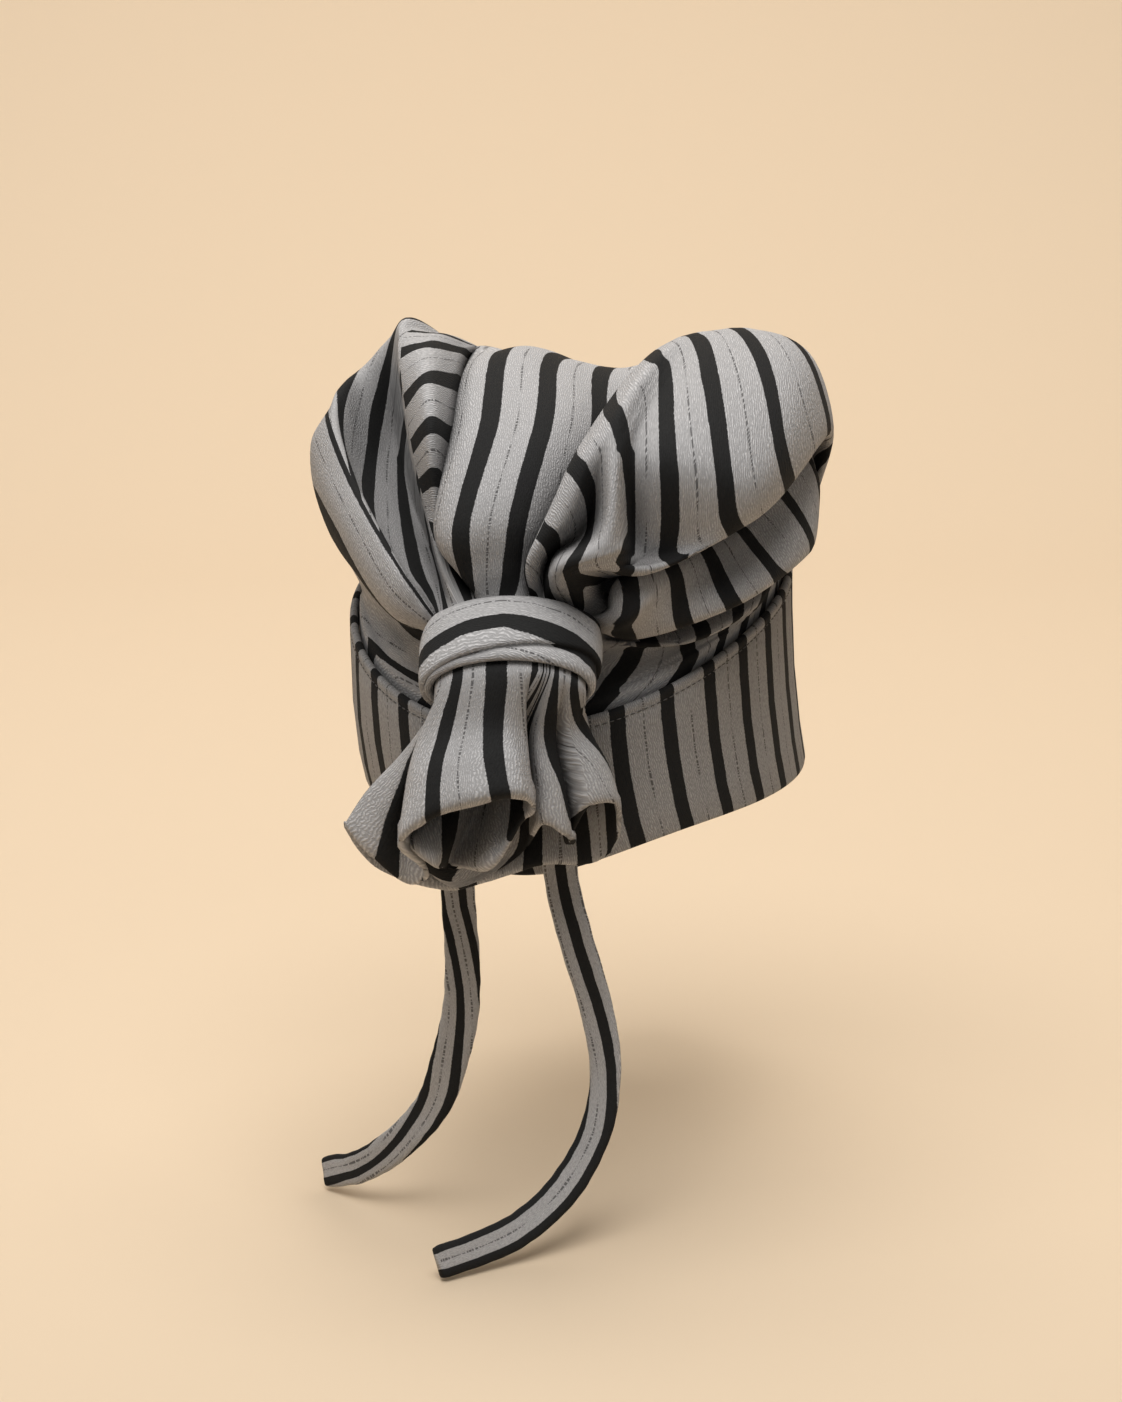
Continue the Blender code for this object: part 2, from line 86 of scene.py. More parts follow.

# %% [markdown]
# ## Camera, floor and light
#
# The photograph looks at the wrap from 15 degrees to one side and 13 degrees above, with a
# long lens, so lines that run away from us hardly converge. The camera is set up first. The
# camera comes first, because the hanging ties are judged by what it sees. The backdrop is one
# pale sheet that curves up behind the wrap, as in a small studio, and the light is large and
# soft. The key light hangs almost overhead, a little toward the camera. The floor ends just in
# front of the view, because a longer one throws orange light up into the folds. A small lamp
# under the wrap lightens the shadow there. The plain Standard view keeps the contrast of grey
# and charcoal as it is lit.

# %% Camera
VIEW_TURN = math.radians(15)
VIEW_RISE = math.radians(13)
VIEW_DISTANCE = 1.240
FRAME_LEFT = 0.0060
FRAME_UP = 0.0231
LENS = 84.7
SENSOR = 36.0
flat_reach = math.cos(VIEW_RISE)
back = Vector((math.sin(VIEW_TURN) * flat_reach, -math.cos(VIEW_TURN) * flat_reach, math.sin(VIEW_RISE)))
right = Vector((math.cos(VIEW_TURN), math.sin(VIEW_TURN), 0.0))
up = back.cross(right)
camera_data = bpy.data.cameras.new("camera")
camera_data.lens = LENS
camera_data.sensor_width = SENSOR
camera = bpy.data.objects.new("camera", camera_data)
camera.matrix_world = Matrix((
    (right.x, up.x, back.x, 0.0),
    (right.y, up.y, back.y, 0.0),
    (right.z, up.z, back.z, 0.0),
    (0.0, 0.0, 0.0, 1.0),
))
camera.location = back * VIEW_DISTANCE - right * FRAME_LEFT + up * FRAME_UP
bpy.context.scene.collection.objects.link(camera)
bpy.context.scene.camera = camera
print("camera at", tuple(round(v, 3) for v in camera.location))

# %% Small helpers for meshes


def new_object(name, mesh):
    thing = bpy.data.objects.new(name, mesh)
    bpy.context.scene.collection.objects.link(thing)
    return thing


def mesh_from(name, points, faces):
    mesh = bpy.data.meshes.new(name)
    mesh.from_pydata([tuple(p) for p in np.asarray(points).reshape(-1, 3)], [], faces)
    mesh.shade_smooth()
    return mesh


def apply_modifiers(thing):
    """Turns the evaluated object into a plain mesh and removes its modifiers."""
    depsgraph = bpy.context.evaluated_depsgraph_get()
    finished = bpy.data.meshes.new_from_object(thing.evaluated_get(depsgraph), depsgraph=depsgraph)
    finished.name = thing.name
    thing.modifiers.clear()
    thing.data = finished
    return thing


def give_wall(piece):
    """Gives a sheet its thickness, half to each side."""
    wall = piece.modifiers.new("cloth", "SOLIDIFY")
    wall.thickness = CLOTH
    wall.offset = 0.0
    apply_modifiers(piece)


def tube_faces(around, deep):
    """Quads of a closed section that is swept round a closed path."""
    faces = []
    for i in range(around):
        j = (i + 1) % around
        for k in range(deep):
            m = (k + 1) % deep
            faces.append((i * deep + k, j * deep + k, j * deep + m, i * deep + m))
    return faces


def past_seam(corner, deep, around):
    """Marks the corners of the last strip that lie on the first section again."""
    on_first = corner // deep == 0
    return on_first & (corner.max(axis=1, keepdims=True) // deep == around - 1)


# %% Backdrop
FLOOR_HEIGHT = -0.1385
FLOOR_AHEAD = 0.42
FLOOR_BEHIND = 1.1
CURVE_RADIUS = 0.7
WALL_TOP = 4.0
HALF_SPAN = 1.5
profile = [(-FLOOR_AHEAD, 0.0), (FLOOR_BEHIND, 0.0)]
for a in np.linspace(0.1, math.pi / 2, 16):
    profile.append((FLOOR_BEHIND + CURVE_RADIUS * math.sin(a), CURVE_RADIUS - CURVE_RADIUS * math.cos(a)))
profile.append((FLOOR_BEHIND + CURVE_RADIUS, WALL_TOP))
sweep = []
for side in (-HALF_SPAN, HALF_SPAN):
    for away, high in profile:
        x = side * math.cos(VIEW_TURN) - away * math.sin(VIEW_TURN)
        y = side * math.sin(VIEW_TURN) + away * math.cos(VIEW_TURN)
        sweep.append((x, y, FLOOR_HEIGHT + high))
count = len(profile)
strips = [(i, i + 1, count + i + 1, count + i) for i in range(count - 1)]
backdrop = new_object("backdrop", mesh_from("backdrop", sweep, strips))
paper = bpy.data.materials.new("backdrop_paper")
paper.use_nodes = True
paper_shader = paper.node_tree.nodes["Principled BSDF"]
paper_shader.inputs["Base Color"].default_value = (0.67, 0.535, 0.385, 1.0)
paper_shader.inputs["Roughness"].default_value = 0.95
paper_shader.inputs["Specular IOR Level"].default_value = 0.1
backdrop.data.materials.append(paper)
print("backdrop floor at", FLOOR_HEIGHT)

# %% Lights


def area_light(name, place, aim, size, power, colour):
    data = bpy.data.lights.new(name, "AREA")
    data.shape = "DISK"
    data.size = size
    data.energy = power
    data.color = colour
    lamp = bpy.data.objects.new(name, data)
    lamp.location = place
    lamp.rotation_euler = (Vector(aim) - Vector(place)).to_track_quat("-Z", "Y").to_euler()
    bpy.context.scene.collection.objects.link(lamp)
    return lamp


ahead = Vector((math.sin(VIEW_TURN), -math.cos(VIEW_TURN), 0.0))
key_place = ahead * 0.75 - right * 0.30 + Vector((0, 0, 2.40))
area_light("key_light", key_place, (0, -0.03, 0.06), size=2.4, power=64.0, colour=(1.0, 0.995, 0.99))
backdrop_place = -ahead * 0.8 + Vector((0, 0, 2.2))
backdrop_aim = -ahead * 1.9 + Vector((0, 0, 0.3))
area_light("backdrop_light", backdrop_place, backdrop_aim, size=1.6, power=30.0, colour=(1.0, 0.985, 0.96))
# A small lamp below the wrap lightens its own shadow on the floor
lamp_place = Vector((0.012, 0.02, -0.006))
lamp_aim = (0.012, 0.02, -1.0)
area_light("floor_lamp", lamp_place, lamp_aim, size=0.13, power=0.085, colour=(1.0, 0.99, 0.97))
world = bpy.data.worlds.new("studio")
world.use_nodes = True
world.node_tree.nodes["Background"].inputs["Color"].default_value = (1.0, 0.98, 0.95, 1.0)
world.node_tree.nodes["Background"].inputs["Strength"].default_value = 0.19
bpy.context.scene.world = world
bpy.context.scene.view_settings.view_transform = "Standard"

# %% [markdown]
# ## Smooth lines
#
# Cloth folds are drawn here as lines of a few points, and every surface is a set of such
# lines joined sideways. The curve through the points is a centripetal Catmull-Rom curve: it
# passes through each point and doesn't overshoot where points lie close together. The
# points may carry extra columns, such as the stripe number, which ride along with the shape.

# %% Curve through points


def smooth_line(points, counts, closed=False):
    """A smooth line through points, with counts samples per span; spacing from x, y, z."""
    p = np.asarray(points, float)
    if closed:
        q = np.concatenate([p[-1:], p, p[:2]])
        spans = len(p)
    else:
        q = np.concatenate([2 * p[:1] - p[1:2], p, 2 * p[-1:] - p[-2:-1]])
        spans = len(p) - 1
    counts = [counts] * spans if isinstance(counts, int) else list(counts)

    def knot(u, v):
        return np.maximum(np.sqrt(np.linalg.norm((v - u)[..., :3], axis=-1, keepdims=True)), 1e-4)

    out = []
    for i in range(spans):
        a, b, c, d = q[i], q[i + 1], q[i + 2], q[i + 3]
        t1 = knot(a, b)
        t2 = t1 + knot(b, c)
        t3 = t2 + knot(c, d)
        for k in range(counts[i]):
            t = t1 + (t2 - t1) * k / counts[i]
            ab = ((t1 - t) * a + t * b) / t1
            bc = ((t2 - t) * b + (t - t1) * c) / (t2 - t1)
            cd = ((t3 - t) * c + (t - t2) * d) / (t3 - t2)
            abc = ((t2 - t) * ab + t * bc) / t2
            bcd = ((t3 - t) * bc + (t - t1) * cd) / (t3 - t1)
            out.append(((t2 - t) * abc + (t - t1) * bcd) / (t2 - t1))
    if not closed:
        out.append(p[-1])
    return np.array(out)


def turned(points):
    """From the drape's frame (across, toward, up) to the hat's own frame."""
    p = np.asarray(points, float)
    c = math.cos(DRAPE_TURN)
    s = math.sin(DRAPE_TURN)
    across = p[..., 0]
    away = -p[..., 1]
    return np.stack([across * c - away * s, across * s + away * c, p[..., 2]], -1)


def unturned(points):
    p = np.asarray(points, float)
    c = math.cos(DRAPE_TURN)
    s = math.sin(DRAPE_TURN)
    across = p[..., 0] * c + p[..., 1] * s
    away = -p[..., 0] * s + p[..., 1] * c
    return np.stack([across, -away, p[..., 2]], -1)


# %% The oval of the head


def rim_height(angle):
    """The rim is level at the sides and dips at the front."""
    a = (np.asarray(angle, float) + math.pi) % (2 * math.pi) - math.pi
    return -RIM_DIP * np.exp(-(a / RIM_DIP_SPREAD) ** 2)


def band_top(angle):
    """The top edge climbs from the front to the back."""
    a = np.asarray(angle, float)
    return BAND_FRONT_TOP + BAND_BACK_RISE * (1 - np.cos(a)) / 2 + BAND_SIDE_RISE * np.sin(a) ** 2


def on_oval(angle, inset, height):
    """A point of the head's oval moved in by inset; angle 0 is the front."""
    # SIDE_EASE brings the right side in a little and leaves the left side where it is
    a = np.asarray(angle, float)
    x = (HEAD_WIDTH / 2 - inset) * np.sin(a) - SIDE_EASE * (1 + np.sin(a)) / 2
    y = -(HEAD_LENGTH / 2 - inset) * np.cos(a)
    return np.stack([x, y, height + 0 * a], -1)


oval_girth = np.linalg.norm(np.diff(on_oval(np.linspace(0, 2 * math.pi, 721), 0, 0.0), axis=0), axis=1).sum()
print("head opening is", round(oval_girth, 3), "m round")

# %% [markdown]
# ## The striped cloth
#
# The cloth is a grey crepe with narrow charcoal stripes and a fine dotted line of slubs
# in the middle of each grey stripe. Every cloth piece carries two UV maps. "cloth" holds the
# stripe number across the stripes and the length in metres along them. "gauge" holds how many
# metres one stripe repeat takes there, so a stripe keeps its real width wherever the
# cloth is stretched or gathered, and how open the folds are there.
#
# The shader is built from groups, each with one job, so that every cloth piece can use them
# with its own values: stripe_bands draws the stripes and slubs, crepe_weave the wavy grain,
# and the third group the slow random changes of colour together with painted shade in the deepest folds.

# %% Shader group helpers


def new_group(name, inputs, outputs):
    group = bpy.data.node_groups.new(name, "ShaderNodeTree")
    for label, kind, value in inputs:
        socket = group.interface.new_socket(label, in_out="INPUT", socket_type=kind)
        if value is not None:
            socket.default_value = value
    for label, kind in outputs:
        group.interface.new_socket(label, in_out="OUTPUT", socket_type=kind)
    enter = group.nodes.new("NodeGroupInput")
    leave = group.nodes.new("NodeGroupOutput")
    return group, enter, leave


def math_node(tree, operation, a, b=None, clamp=False):
    node = tree.nodes.new("ShaderNodeMath")
    node.operation = operation
    node.use_clamp = clamp
    for slot, value in enumerate((a, b)):
        if value is None:
            continue
        if isinstance(value, (int, float)):
            node.inputs[slot].default_value = value
        else:
            tree.links.new(value, node.inputs[slot])
    return node.outputs[0]


def noise_node(tree, vector, scale, detail=2.0, rough=0.5, distortion=0.0):
    node = tree.nodes.new("ShaderNodeTexNoise")
    node.inputs["Scale"].default_value = scale
    node.inputs["Detail"].default_value = detail
    node.inputs["Roughness"].default_value = rough
    node.inputs["Distortion"].default_value = distortion
    tree.links.new(vector, node.inputs["Vector"])
    return node.outputs["Fac"]


def combine(tree, x, y, z=0.0):
    node = tree.nodes.new("ShaderNodeCombineXYZ")
    for slot, value in enumerate((x, y, z)):
        if isinstance(value, (int, float)):
            node.inputs[slot].default_value = value
        else:
            tree.links.new(value, node.inputs[slot])
    return node.outputs[0]


def ramp_between(tree, value, low, high):
    node = tree.nodes.new("ShaderNodeMapRange")
    node.interpolation_type = "SMOOTHSTEP"
    node.inputs["From Min"].default_value = low
    node.inputs["From Max"].default_value = high
    tree.links.new(value, node.inputs["Value"])
    return node.outputs["Result"]


# %% Group: stripes and slubs
stripe_bands, enter, leave = new_group(
    "stripe_bands",
    [
        ("Across", "NodeSocketFloat", 0.0),
        ("Along", "NodeSocketFloat", 0.0),
        ("Gauge", "NodeSocketFloat", STRIPE_PITCH),
        ("Width", "NodeSocketFloat", STRIPE_WIDTH),
        ("Tooth", "NodeSocketFloat", 0.0005),
    ],
    [("Stripe", "NodeSocketFloat"), ("Slub", "NodeSocketFloat")],
)
t = stripe_bands
shifted = math_node(t, "ADD", enter.outputs["Across"], 0.5)
centred = math_node(t, "SUBTRACT", math_node(t, "FRACT", shifted), 0.5)
away = math_node(t, "MULTIPLY", math_node(t, "ABSOLUTE", centred), enter.outputs["Gauge"])
metres_across = math_node(t, "MULTIPLY", enter.outputs["Across"], STRIPE_PITCH)
edge_place = combine(t, metres_across, enter.outputs["Along"])
tooth = math_node(t, "SUBTRACT", noise_node(t, edge_place, 1400.0, 1.0), 0.5)
wander = math_node(t, "SUBTRACT", noise_node(t, edge_place, 160.0, 1.0), 0.5)
ragged = math_node(t, "MULTIPLY", math_node(t, "ADD", tooth, wander), enter.outputs["Tooth"])
half = math_node(t, "MULTIPLY", enter.outputs["Width"], 0.5)
crowded = math_node(t, "MULTIPLY", enter.outputs["Gauge"], 0.185)
half = math_node(t, "MINIMUM", half, crowded)
inside = math_node(t, "SUBTRACT", math_node(t, "ADD", half, ragged), away)
t.links.new(ramp_between(t, inside, -0.00012, 0.00012), leave.inputs["Stripe"])
# The slub line lies midway between two stripes
middle = math_node(t, "SUBTRACT", math_node(t, "MULTIPLY", enter.outputs["Gauge"], 0.5), away)
slub_wander = math_node(t, "SUBTRACT", noise_node(t, edge_place, 90.0, 1.0), 0.5)
slub_wander = math_node(t, "MULTIPLY", slub_wander, 0.0012)
middle = math_node(t, "ABSOLUTE", math_node(t, "ADD", middle, slub_wander))
thread = math_node(t, "SUBTRACT", 1.0, ramp_between(t, middle, 0.00016, 0.00040))
dash_place = combine(t, math_node(t, "FLOOR", enter.outputs["Across"]), enter.outputs["Along"])
dashes = ramp_between(t, noise_node(t, dash_place, 1150.0, 0.0), 0.42, 0.50)
spells = ramp_between(t, noise_node(t, dash_place, 55.0, 1.0), 0.34, 0.50)
slub = math_node(t, "MULTIPLY", math_node(t, "MULTIPLY", thread, dashes), spells)
t.links.new(slub, leave.inputs["Slub"])
print("group", stripe_bands.name, len(stripe_bands.nodes), "nodes")

# %% Group: crepe grain
RIDGE_PITCH = 0.00078
crepe_weave, enter, leave = new_group(
    "crepe_weave",
    [
        ("Across", "NodeSocketFloat", 0.0),
        ("Along", "NodeSocketFloat", 0.0),
    ],
    [("Height", "NodeSocketFloat"), ("Tone", "NodeSocketFloat")],
)
t = crepe_weave
metres_across = math_node(t, "MULTIPLY", enter.outputs["Across"], STRIPE_PITCH)
slow_place = combine(t, metres_across, enter.outputs["Along"])
sway = math_node(t, "MULTIPLY", math_node(t, "SUBTRACT", noise_node(t, slow_place, 300.0, 2.0), 0.5), 0.0020)
lean = math_node(t, "MULTIPLY", enter.outputs["Along"], 0.14)
swayed = math_node(t, "ADD", math_node(t, "ADD", metres_across, sway), lean)
ridge_turns = math_node(t, "MULTIPLY", swayed, 2 * math.pi / RIDGE_PITCH)
wave = math_node(t, "ADD", math_node(t, "MULTIPLY", math_node(t, "SINE", ridge_turns), 0.5), 0.5)
broken_place = combine(t, math_node(t, "MULTIPLY", swayed, 2.2), enter.outputs["Along"])
broken = ramp_between(t, noise_node(t, broken_place, 820.0, 1.0), 0.30, 0.62)
ridges = math_node(t, "MULTIPLY", wave, broken)
threads = noise_node(t, slow_place, 2600.0, 1.0)
height = math_node(t, "ADD", math_node(t, "MULTIPLY", ridges, 0.8), math_node(t, "MULTIPLY", threads, 0.35))
t.links.new(height, leave.inputs["Height"])
t.links.new(ridges, leave.inputs["Tone"])
print("group", crepe_weave.name, len(crepe_weave.nodes), "nodes")

# %% Group: slow changes of tone and painted shade in deep folds
tone_and_painted_shade, enter, leave = new_group(
    "tone_and_painted_shade",
    [
        ("Place", "NodeSocketVector", None),
        ("Fold", "NodeSocketFloat", 1.0),
        ("Amount", "NodeSocketFloat", 0.10),
        ("Depth", "NodeSocketFloat", 0.50),
    ],
    [("Tone", "NodeSocketFloat"), ("Fuzz", "NodeSocketFloat")],
)
t = tone_and_painted_shade
# Painted shade: the colour is darkened where a fold is closed, by up to the Depth input
shut = math_node(t, "SUBTRACT", 1.0, enter.outputs["Fold"], clamp=True)
loss = math_node(t, "MULTIPLY", math_node(t, "POWER", shut, 1.4), enter.outputs["Depth"])
shade = math_node(t, "SUBTRACT", 1.0, loss)
broad = math_node(t, "SUBTRACT", noise_node(t, enter.outputs["Place"], 28.0, 3.0, 0.6), 0.5)
fine = math_node(t, "SUBTRACT", noise_node(t, enter.outputs["Place"], 900.0, 2.0, 0.7), 0.5)
mixed = math_node(t, "ADD", math_node(t, "MULTIPLY", broad, 1.2), fine)
tone = math_node(t, "ADD", 1.0, math_node(t, "MULTIPLY", mixed, enter.outputs["Amount"]))
t.links.new(math_node(t, "MULTIPLY", tone, shade), leave.inputs["Tone"])
t.links.new(math_node(t, "ADD", math_node(t, "MULTIPLY", fine, 0.6), 0.5), leave.inputs["Fuzz"])
print("group", tone_and_painted_shade.name, len(tone_and_painted_shade.nodes), "nodes")

# %% The striped cloth's material


def striped_cloth(name, grey, charcoal, tooth=0.0005, width=STRIPE_WIDTH):
    material = bpy.data.materials.new(name)
    material.use_nodes = True
    t = material.node_tree
    shader = t.nodes["Principled BSDF"]
    cloth_map = t.nodes.new("ShaderNodeUVMap")
    cloth_map.uv_map = "cloth"
    gauge_map = t.nodes.new("ShaderNodeUVMap")
    gauge_map.uv_map = "gauge"
    cloth_split = t.nodes.new("ShaderNodeSeparateXYZ")
    gauge_split = t.nodes.new("ShaderNodeSeparateXYZ")
    t.links.new(cloth_map.outputs[0], cloth_split.inputs[0])
    t.links.new(gauge_map.outputs[0], gauge_split.inputs[0])
    place = t.nodes.new("ShaderNodeTexCoord")
    bands = t.nodes.new("ShaderNodeGroup")
    bands.node_tree = stripe_bands
    weave = t.nodes.new("ShaderNodeGroup")
    weave.node_tree = crepe_weave
    tone_and_shade_node = t.nodes.new("ShaderNodeGroup")
    tone_and_shade_node.node_tree = tone_and_painted_shade
    for group in (bands, weave):
        t.links.new(cloth_split.outputs["X"], group.inputs["Across"])
        t.links.new(cloth_split.outputs["Y"], group.inputs["Along"])
    t.links.new(gauge_split.outputs["X"], bands.inputs["Gauge"])
    t.links.new(gauge_split.outputs["Y"], tone_and_shade_node.inputs["Fold"])
    t.links.new(place.outputs["Object"], tone_and_shade_node.inputs["Place"])
    bands.inputs["Tooth"].default_value = tooth
    bands.inputs["Width"].default_value = width

    grain = t.nodes.new("ShaderNodeMix")
    grain.data_type = "RGBA"
    grain.inputs["A"].default_value = (*[c * 0.60 for c in grey], 1.0)
    grain.inputs["B"].default_value = (*grey, 1.0)
    t.links.new(weave.outputs["Tone"], grain.inputs["Factor"])

    slubbed = t.nodes.new("ShaderNodeMix")
    slubbed.data_type = "RGBA"
    slubbed.inputs["B"].default_value = (*[c * 0.24 for c in grey], 1.0)
    t.links.new(grain.outputs["Result"], slubbed.inputs["A"])
    t.links.new(bands.outputs["Slub"], slubbed.inputs["Factor"])

    dark = t.nodes.new("ShaderNodeMix")
    dark.data_type = "RGBA"
    dark.inputs["A"].default_value = (*charcoal, 1.0)
    dark.inputs["B"].default_value = (*[c * 1.9 for c in charcoal], 1.0)
    t.links.new(tone_and_shade_node.outputs["Fuzz"], dark.inputs["Factor"])

    striped = t.nodes.new("ShaderNodeMix")
    striped.data_type = "RGBA"
    t.links.new(bands.outputs["Stripe"], striped.inputs["Factor"])
    t.links.new(slubbed.outputs["Result"], striped.inputs["A"])
    t.links.new(dark.outputs["Result"], striped.inputs["B"])

    # Painted shade: the colour is multiplied by the slow random tone and by the darkening of closed folds
    toned_and_shaded = t.nodes.new("ShaderNodeMix")
    toned_and_shaded.data_type = "RGBA"
    toned_and_shaded.blend_type = "MULTIPLY"
    toned_and_shaded.inputs["Factor"].default_value = 1.0
    t.links.new(striped.outputs["Result"], toned_and_shaded.inputs["A"])
    t.links.new(tone_and_shade_node.outputs["Tone"], toned_and_shaded.inputs["B"])
    t.links.new(toned_and_shaded.outputs["Result"], shader.inputs["Base Color"])

    stripe_flat = math_node(t, "SUBTRACT", 1.0, math_node(t, "MULTIPLY", bands.outputs["Stripe"], 0.55))
    height = math_node(t, "MULTIPLY", weave.outputs["Height"], stripe_flat)
    height = math_node(t, "SUBTRACT", height, math_node(t, "MULTIPLY", bands.outputs["Slub"], 0.5))
    bump = t.nodes.new("ShaderNodeBump")
    bump.inputs["Strength"].default_value = 0.55
    bump.inputs["Distance"].default_value = 0.0005
    t.links.new(height, bump.inputs["Height"])
    t.links.new(bump.outputs["Normal"], shader.inputs["Normal"])
    rough = math_node(t, "ADD", 0.80, math_node(t, "MULTIPLY", weave.outputs["Tone"], 0.10))
    t.links.new(rough, shader.inputs["Roughness"])
    shader.inputs["Specular IOR Level"].default_value = 0.10
    shader.inputs["Sheen Weight"].default_value = 0.015
    shader.inputs["Sheen Roughness"].default_value = 0.45
    return material


GREY = (0.58, 0.565, 0.56)
CHARCOAL = (0.013, 0.0128, 0.0126)
crown_cloth = striped_cloth("crown_cloth", GREY, CHARCOAL)
band_cloth = striped_cloth("band_cloth", (0.47, 0.455, 0.445), CHARCOAL, width=0.0058)
tie_cloth = striped_cloth("tie_cloth", GREY, CHARCOAL, tooth=0.0003)
print("materials", crown_cloth.name, band_cloth.name, tie_cloth.name)

# %% [markdown]
# ## Stripe numbers on a surface
#
# A cloth surface is a grid of points. Each grid point gets a stripe number and a length along
# the stripe. From the grid's own slopes we can work out how many metres of real surface
# one stripe repeat takes at each point, which is what the "gauge" map stores. The same slopes
# give the normal.

# %% Grid measures
GAUGE_LIMITS = (0.007, 0.034)
GAUGE_SMOOTHING = 6


def step_along(grid, axis, closed):
    """Half the difference of the two neighbours along an axis."""
    if closed:
        return (np.roll(grid, -1, axis) - np.roll(grid, 1, axis)) / 2
    return np.gradient(grid, axis=axis)


def gauge_of(points, stripes, closed):
    """Metres of surface per stripe repeat at each grid point."""
    pu = step_along(points, 0, closed)
    pv = np.gradient(points, axis=1)
    su = step_along(stripes, 0, False)
    sv = np.gradient(stripes, axis=1)
    e = (pu * pu).sum(-1)
    f = (pu * pv).sum(-1)
    g = (pv * pv).sum(-1)
    slope = (g * su ** 2 - 2 * f * su * sv + e * sv ** 2) / np.maximum(e * g - f * f, 1e-14)
    metres = np.clip(1 / np.sqrt(np.maximum(slope, 1.0)), *GAUGE_LIMITS)
    for _ in range(GAUGE_SMOOTHING):
        padded = np.pad(metres, 1, mode="edge")
        around = padded[:-2, 1:-1] + padded[2:, 1:-1] + padded[1:-1, :-2] + padded[1:-1, 2:]
        metres = 0.5 * metres + 0.125 * around
    return metres


def normals_of(points, closed):
    n = np.cross(step_along(points, 0, closed), np.gradient(points, axis=1))
    return n / np.maximum(np.linalg.norm(n, axis=-1, keepdims=True), 1e-12)


def sheet_area(points, closed):
    """Area of one side of a grid of points, in square metres."""
    p = np.concatenate([points, points[:1]]) if closed else points
    a = p[1:, 1:] - p[:-1, :-1]
    b = p[1:, :-1] - p[:-1, 1:]
    return float(np.linalg.norm(np.cross(a, b), axis=-1).sum() / 2)


def length_along(points, axis):
    """Length over the surface from the first row of an axis to each grid point."""
    steps = np.cumsum(np.linalg.norm(np.diff(points, axis=axis), axis=2), axis=axis)
    return np.concatenate([np.zeros_like(np.take(steps, [0], axis)), steps], axis=axis)


def set_maps(mesh, across, along, gauge):
    """Stores both UV maps from values for each face corner, with every fold fully open."""
    first = mesh.uv_layers.new(name="cloth")
    second = mesh.uv_layers.new(name="gauge")
    first.data.foreach_set("uv", np.stack([across, along], -1).astype(np.float32).ravel())
    second.data.foreach_set("uv", np.stack([gauge, np.ones(len(gauge))], -1).astype(np.float32).ravel())


# %% [markdown]
# ## The ties
#
# The two ties are flat strips of the same cloth, cut on the slant, folded lengthways and
# pressed, so the stripes wander across them on the way down. Each one is a fixed length of
# limp strap: it leaves the wrap behind the knot's tail, hangs down, and its end
# sweeps out along the floor. The route's points are the ones in the part's source.

# %% Routes of the ties
TIE_WIDTH = 0.012
TIE_THICK = 0.003
TIE_HANG = 0.135
TIE_POINTS = 32
TIES = {
    "tie_left": (
        (-0.54, 1.076, 0.07),
        (-0.525, 1.076, -0.17),
        (-0.51, 1.07, -0.33),
        (-0.52, 1.06, -0.47),
        (-0.57, 1.06, -0.60),
        (-0.64, 1.05, -0.72),
        (-0.80, 1.01, -0.84),
        (-0.98, 0.93, -0.93),
        (-1.15, 0.81, -0.98),
    ),
    "tie_right": (
        (-0.10, 1.043, 0.07),
        (-0.07, 1.046, -0.13),
        (-0.01, 1.08, -0.27),
        (0.08, 1.11, -0.45),
        (0.12, 1.16, -0.60),
        (0.08, 1.24, -0.74),
        (-0.06, 1.35, -0.87),
        (-0.25, 1.47, -0.945),
        (-0.43, 1.57, -0.97),
        (-0.60, 1.66, -0.98),
    ),
}
# share of the way down, stripe number at the left edge, stripe number at the right edge
TIE_STRIPES = {
    "tie_left": (
        (0.00, 0.60, -0.60), (0.20, 1.00, -0.60), (0.38, 1.70, 0.00), (0.58, 2.00, 0.74),
        (0.70, 2.41, 1.00), (0.84, 3.00, 1.29), (1.00, 3.05, 1.79),
    ),
    "tie_right": (
        (0.00, 0.58, -0.58), (0.32, 0.60, -0.50), (0.45, 0.75, -0.35), (0.60, 1.05, -0.10),
        (1.00, 1.08, -0.15),
    ),
}
# share of the way down, how far the strip turns about its own line in degrees, its width
TIE_TURNS = {
    "tie_left": ((0.0, 0, 0.95), (0.25, -14, 1.0), (0.5, -8, 1.12), (0.7, 12, 1.05), (1.0, 0, 0.95)),
    "tie_right": ((0.0, 0, 1.0), (0.3, 8, 1.0), (0.5, 26, 0.95), (0.7, 12, 1.0), (1.0, 0, 0.95)),
}


def tie_route(name):
    size = np.array([HEAD_WIDTH / 2, HEAD_LENGTH / 2, TIE_HANG])
    route = smooth_line(np.array(TIES[name]) * size, 40)
    step = np.linalg.norm(np.diff(route, axis=0), axis=1)
    along = np.concatenate([[0.0], np.cumsum(step)])
    place = np.linspace(0.0, along[-1], TIE_POINTS)
    return turned(np.stack([np.interp(place, along, route[:, k]) for k in range(3)], 1)), along[-1]


# %% Build a tie
TIE_CRIMPS = 34
TIE_CRIMP_DEPTH = 0.05
TIE_END_FROM = 0.985
TIE_END_SPAN = 0.015
TIE_END_TAPER = 0.10
# Section of the folded strip: share of the half width, share of the half thickness
TIE_SECTION = (
    (-1.0, 0.0), (-0.97, 0.55), (-0.86, 0.92), (-0.55, 1.06), (-0.2, 0.94), (0.15, 0.94),
    (0.5, 1.06), (0.84, 0.95), (0.96, 0.6), (1.0, 0.0), (0.96, -0.6), (0.84, -0.95),
    (0.5, -1.0), (0.0, -0.92), (-0.5, -1.0), (-0.86, -0.95), (-0.97, -0.55),
)


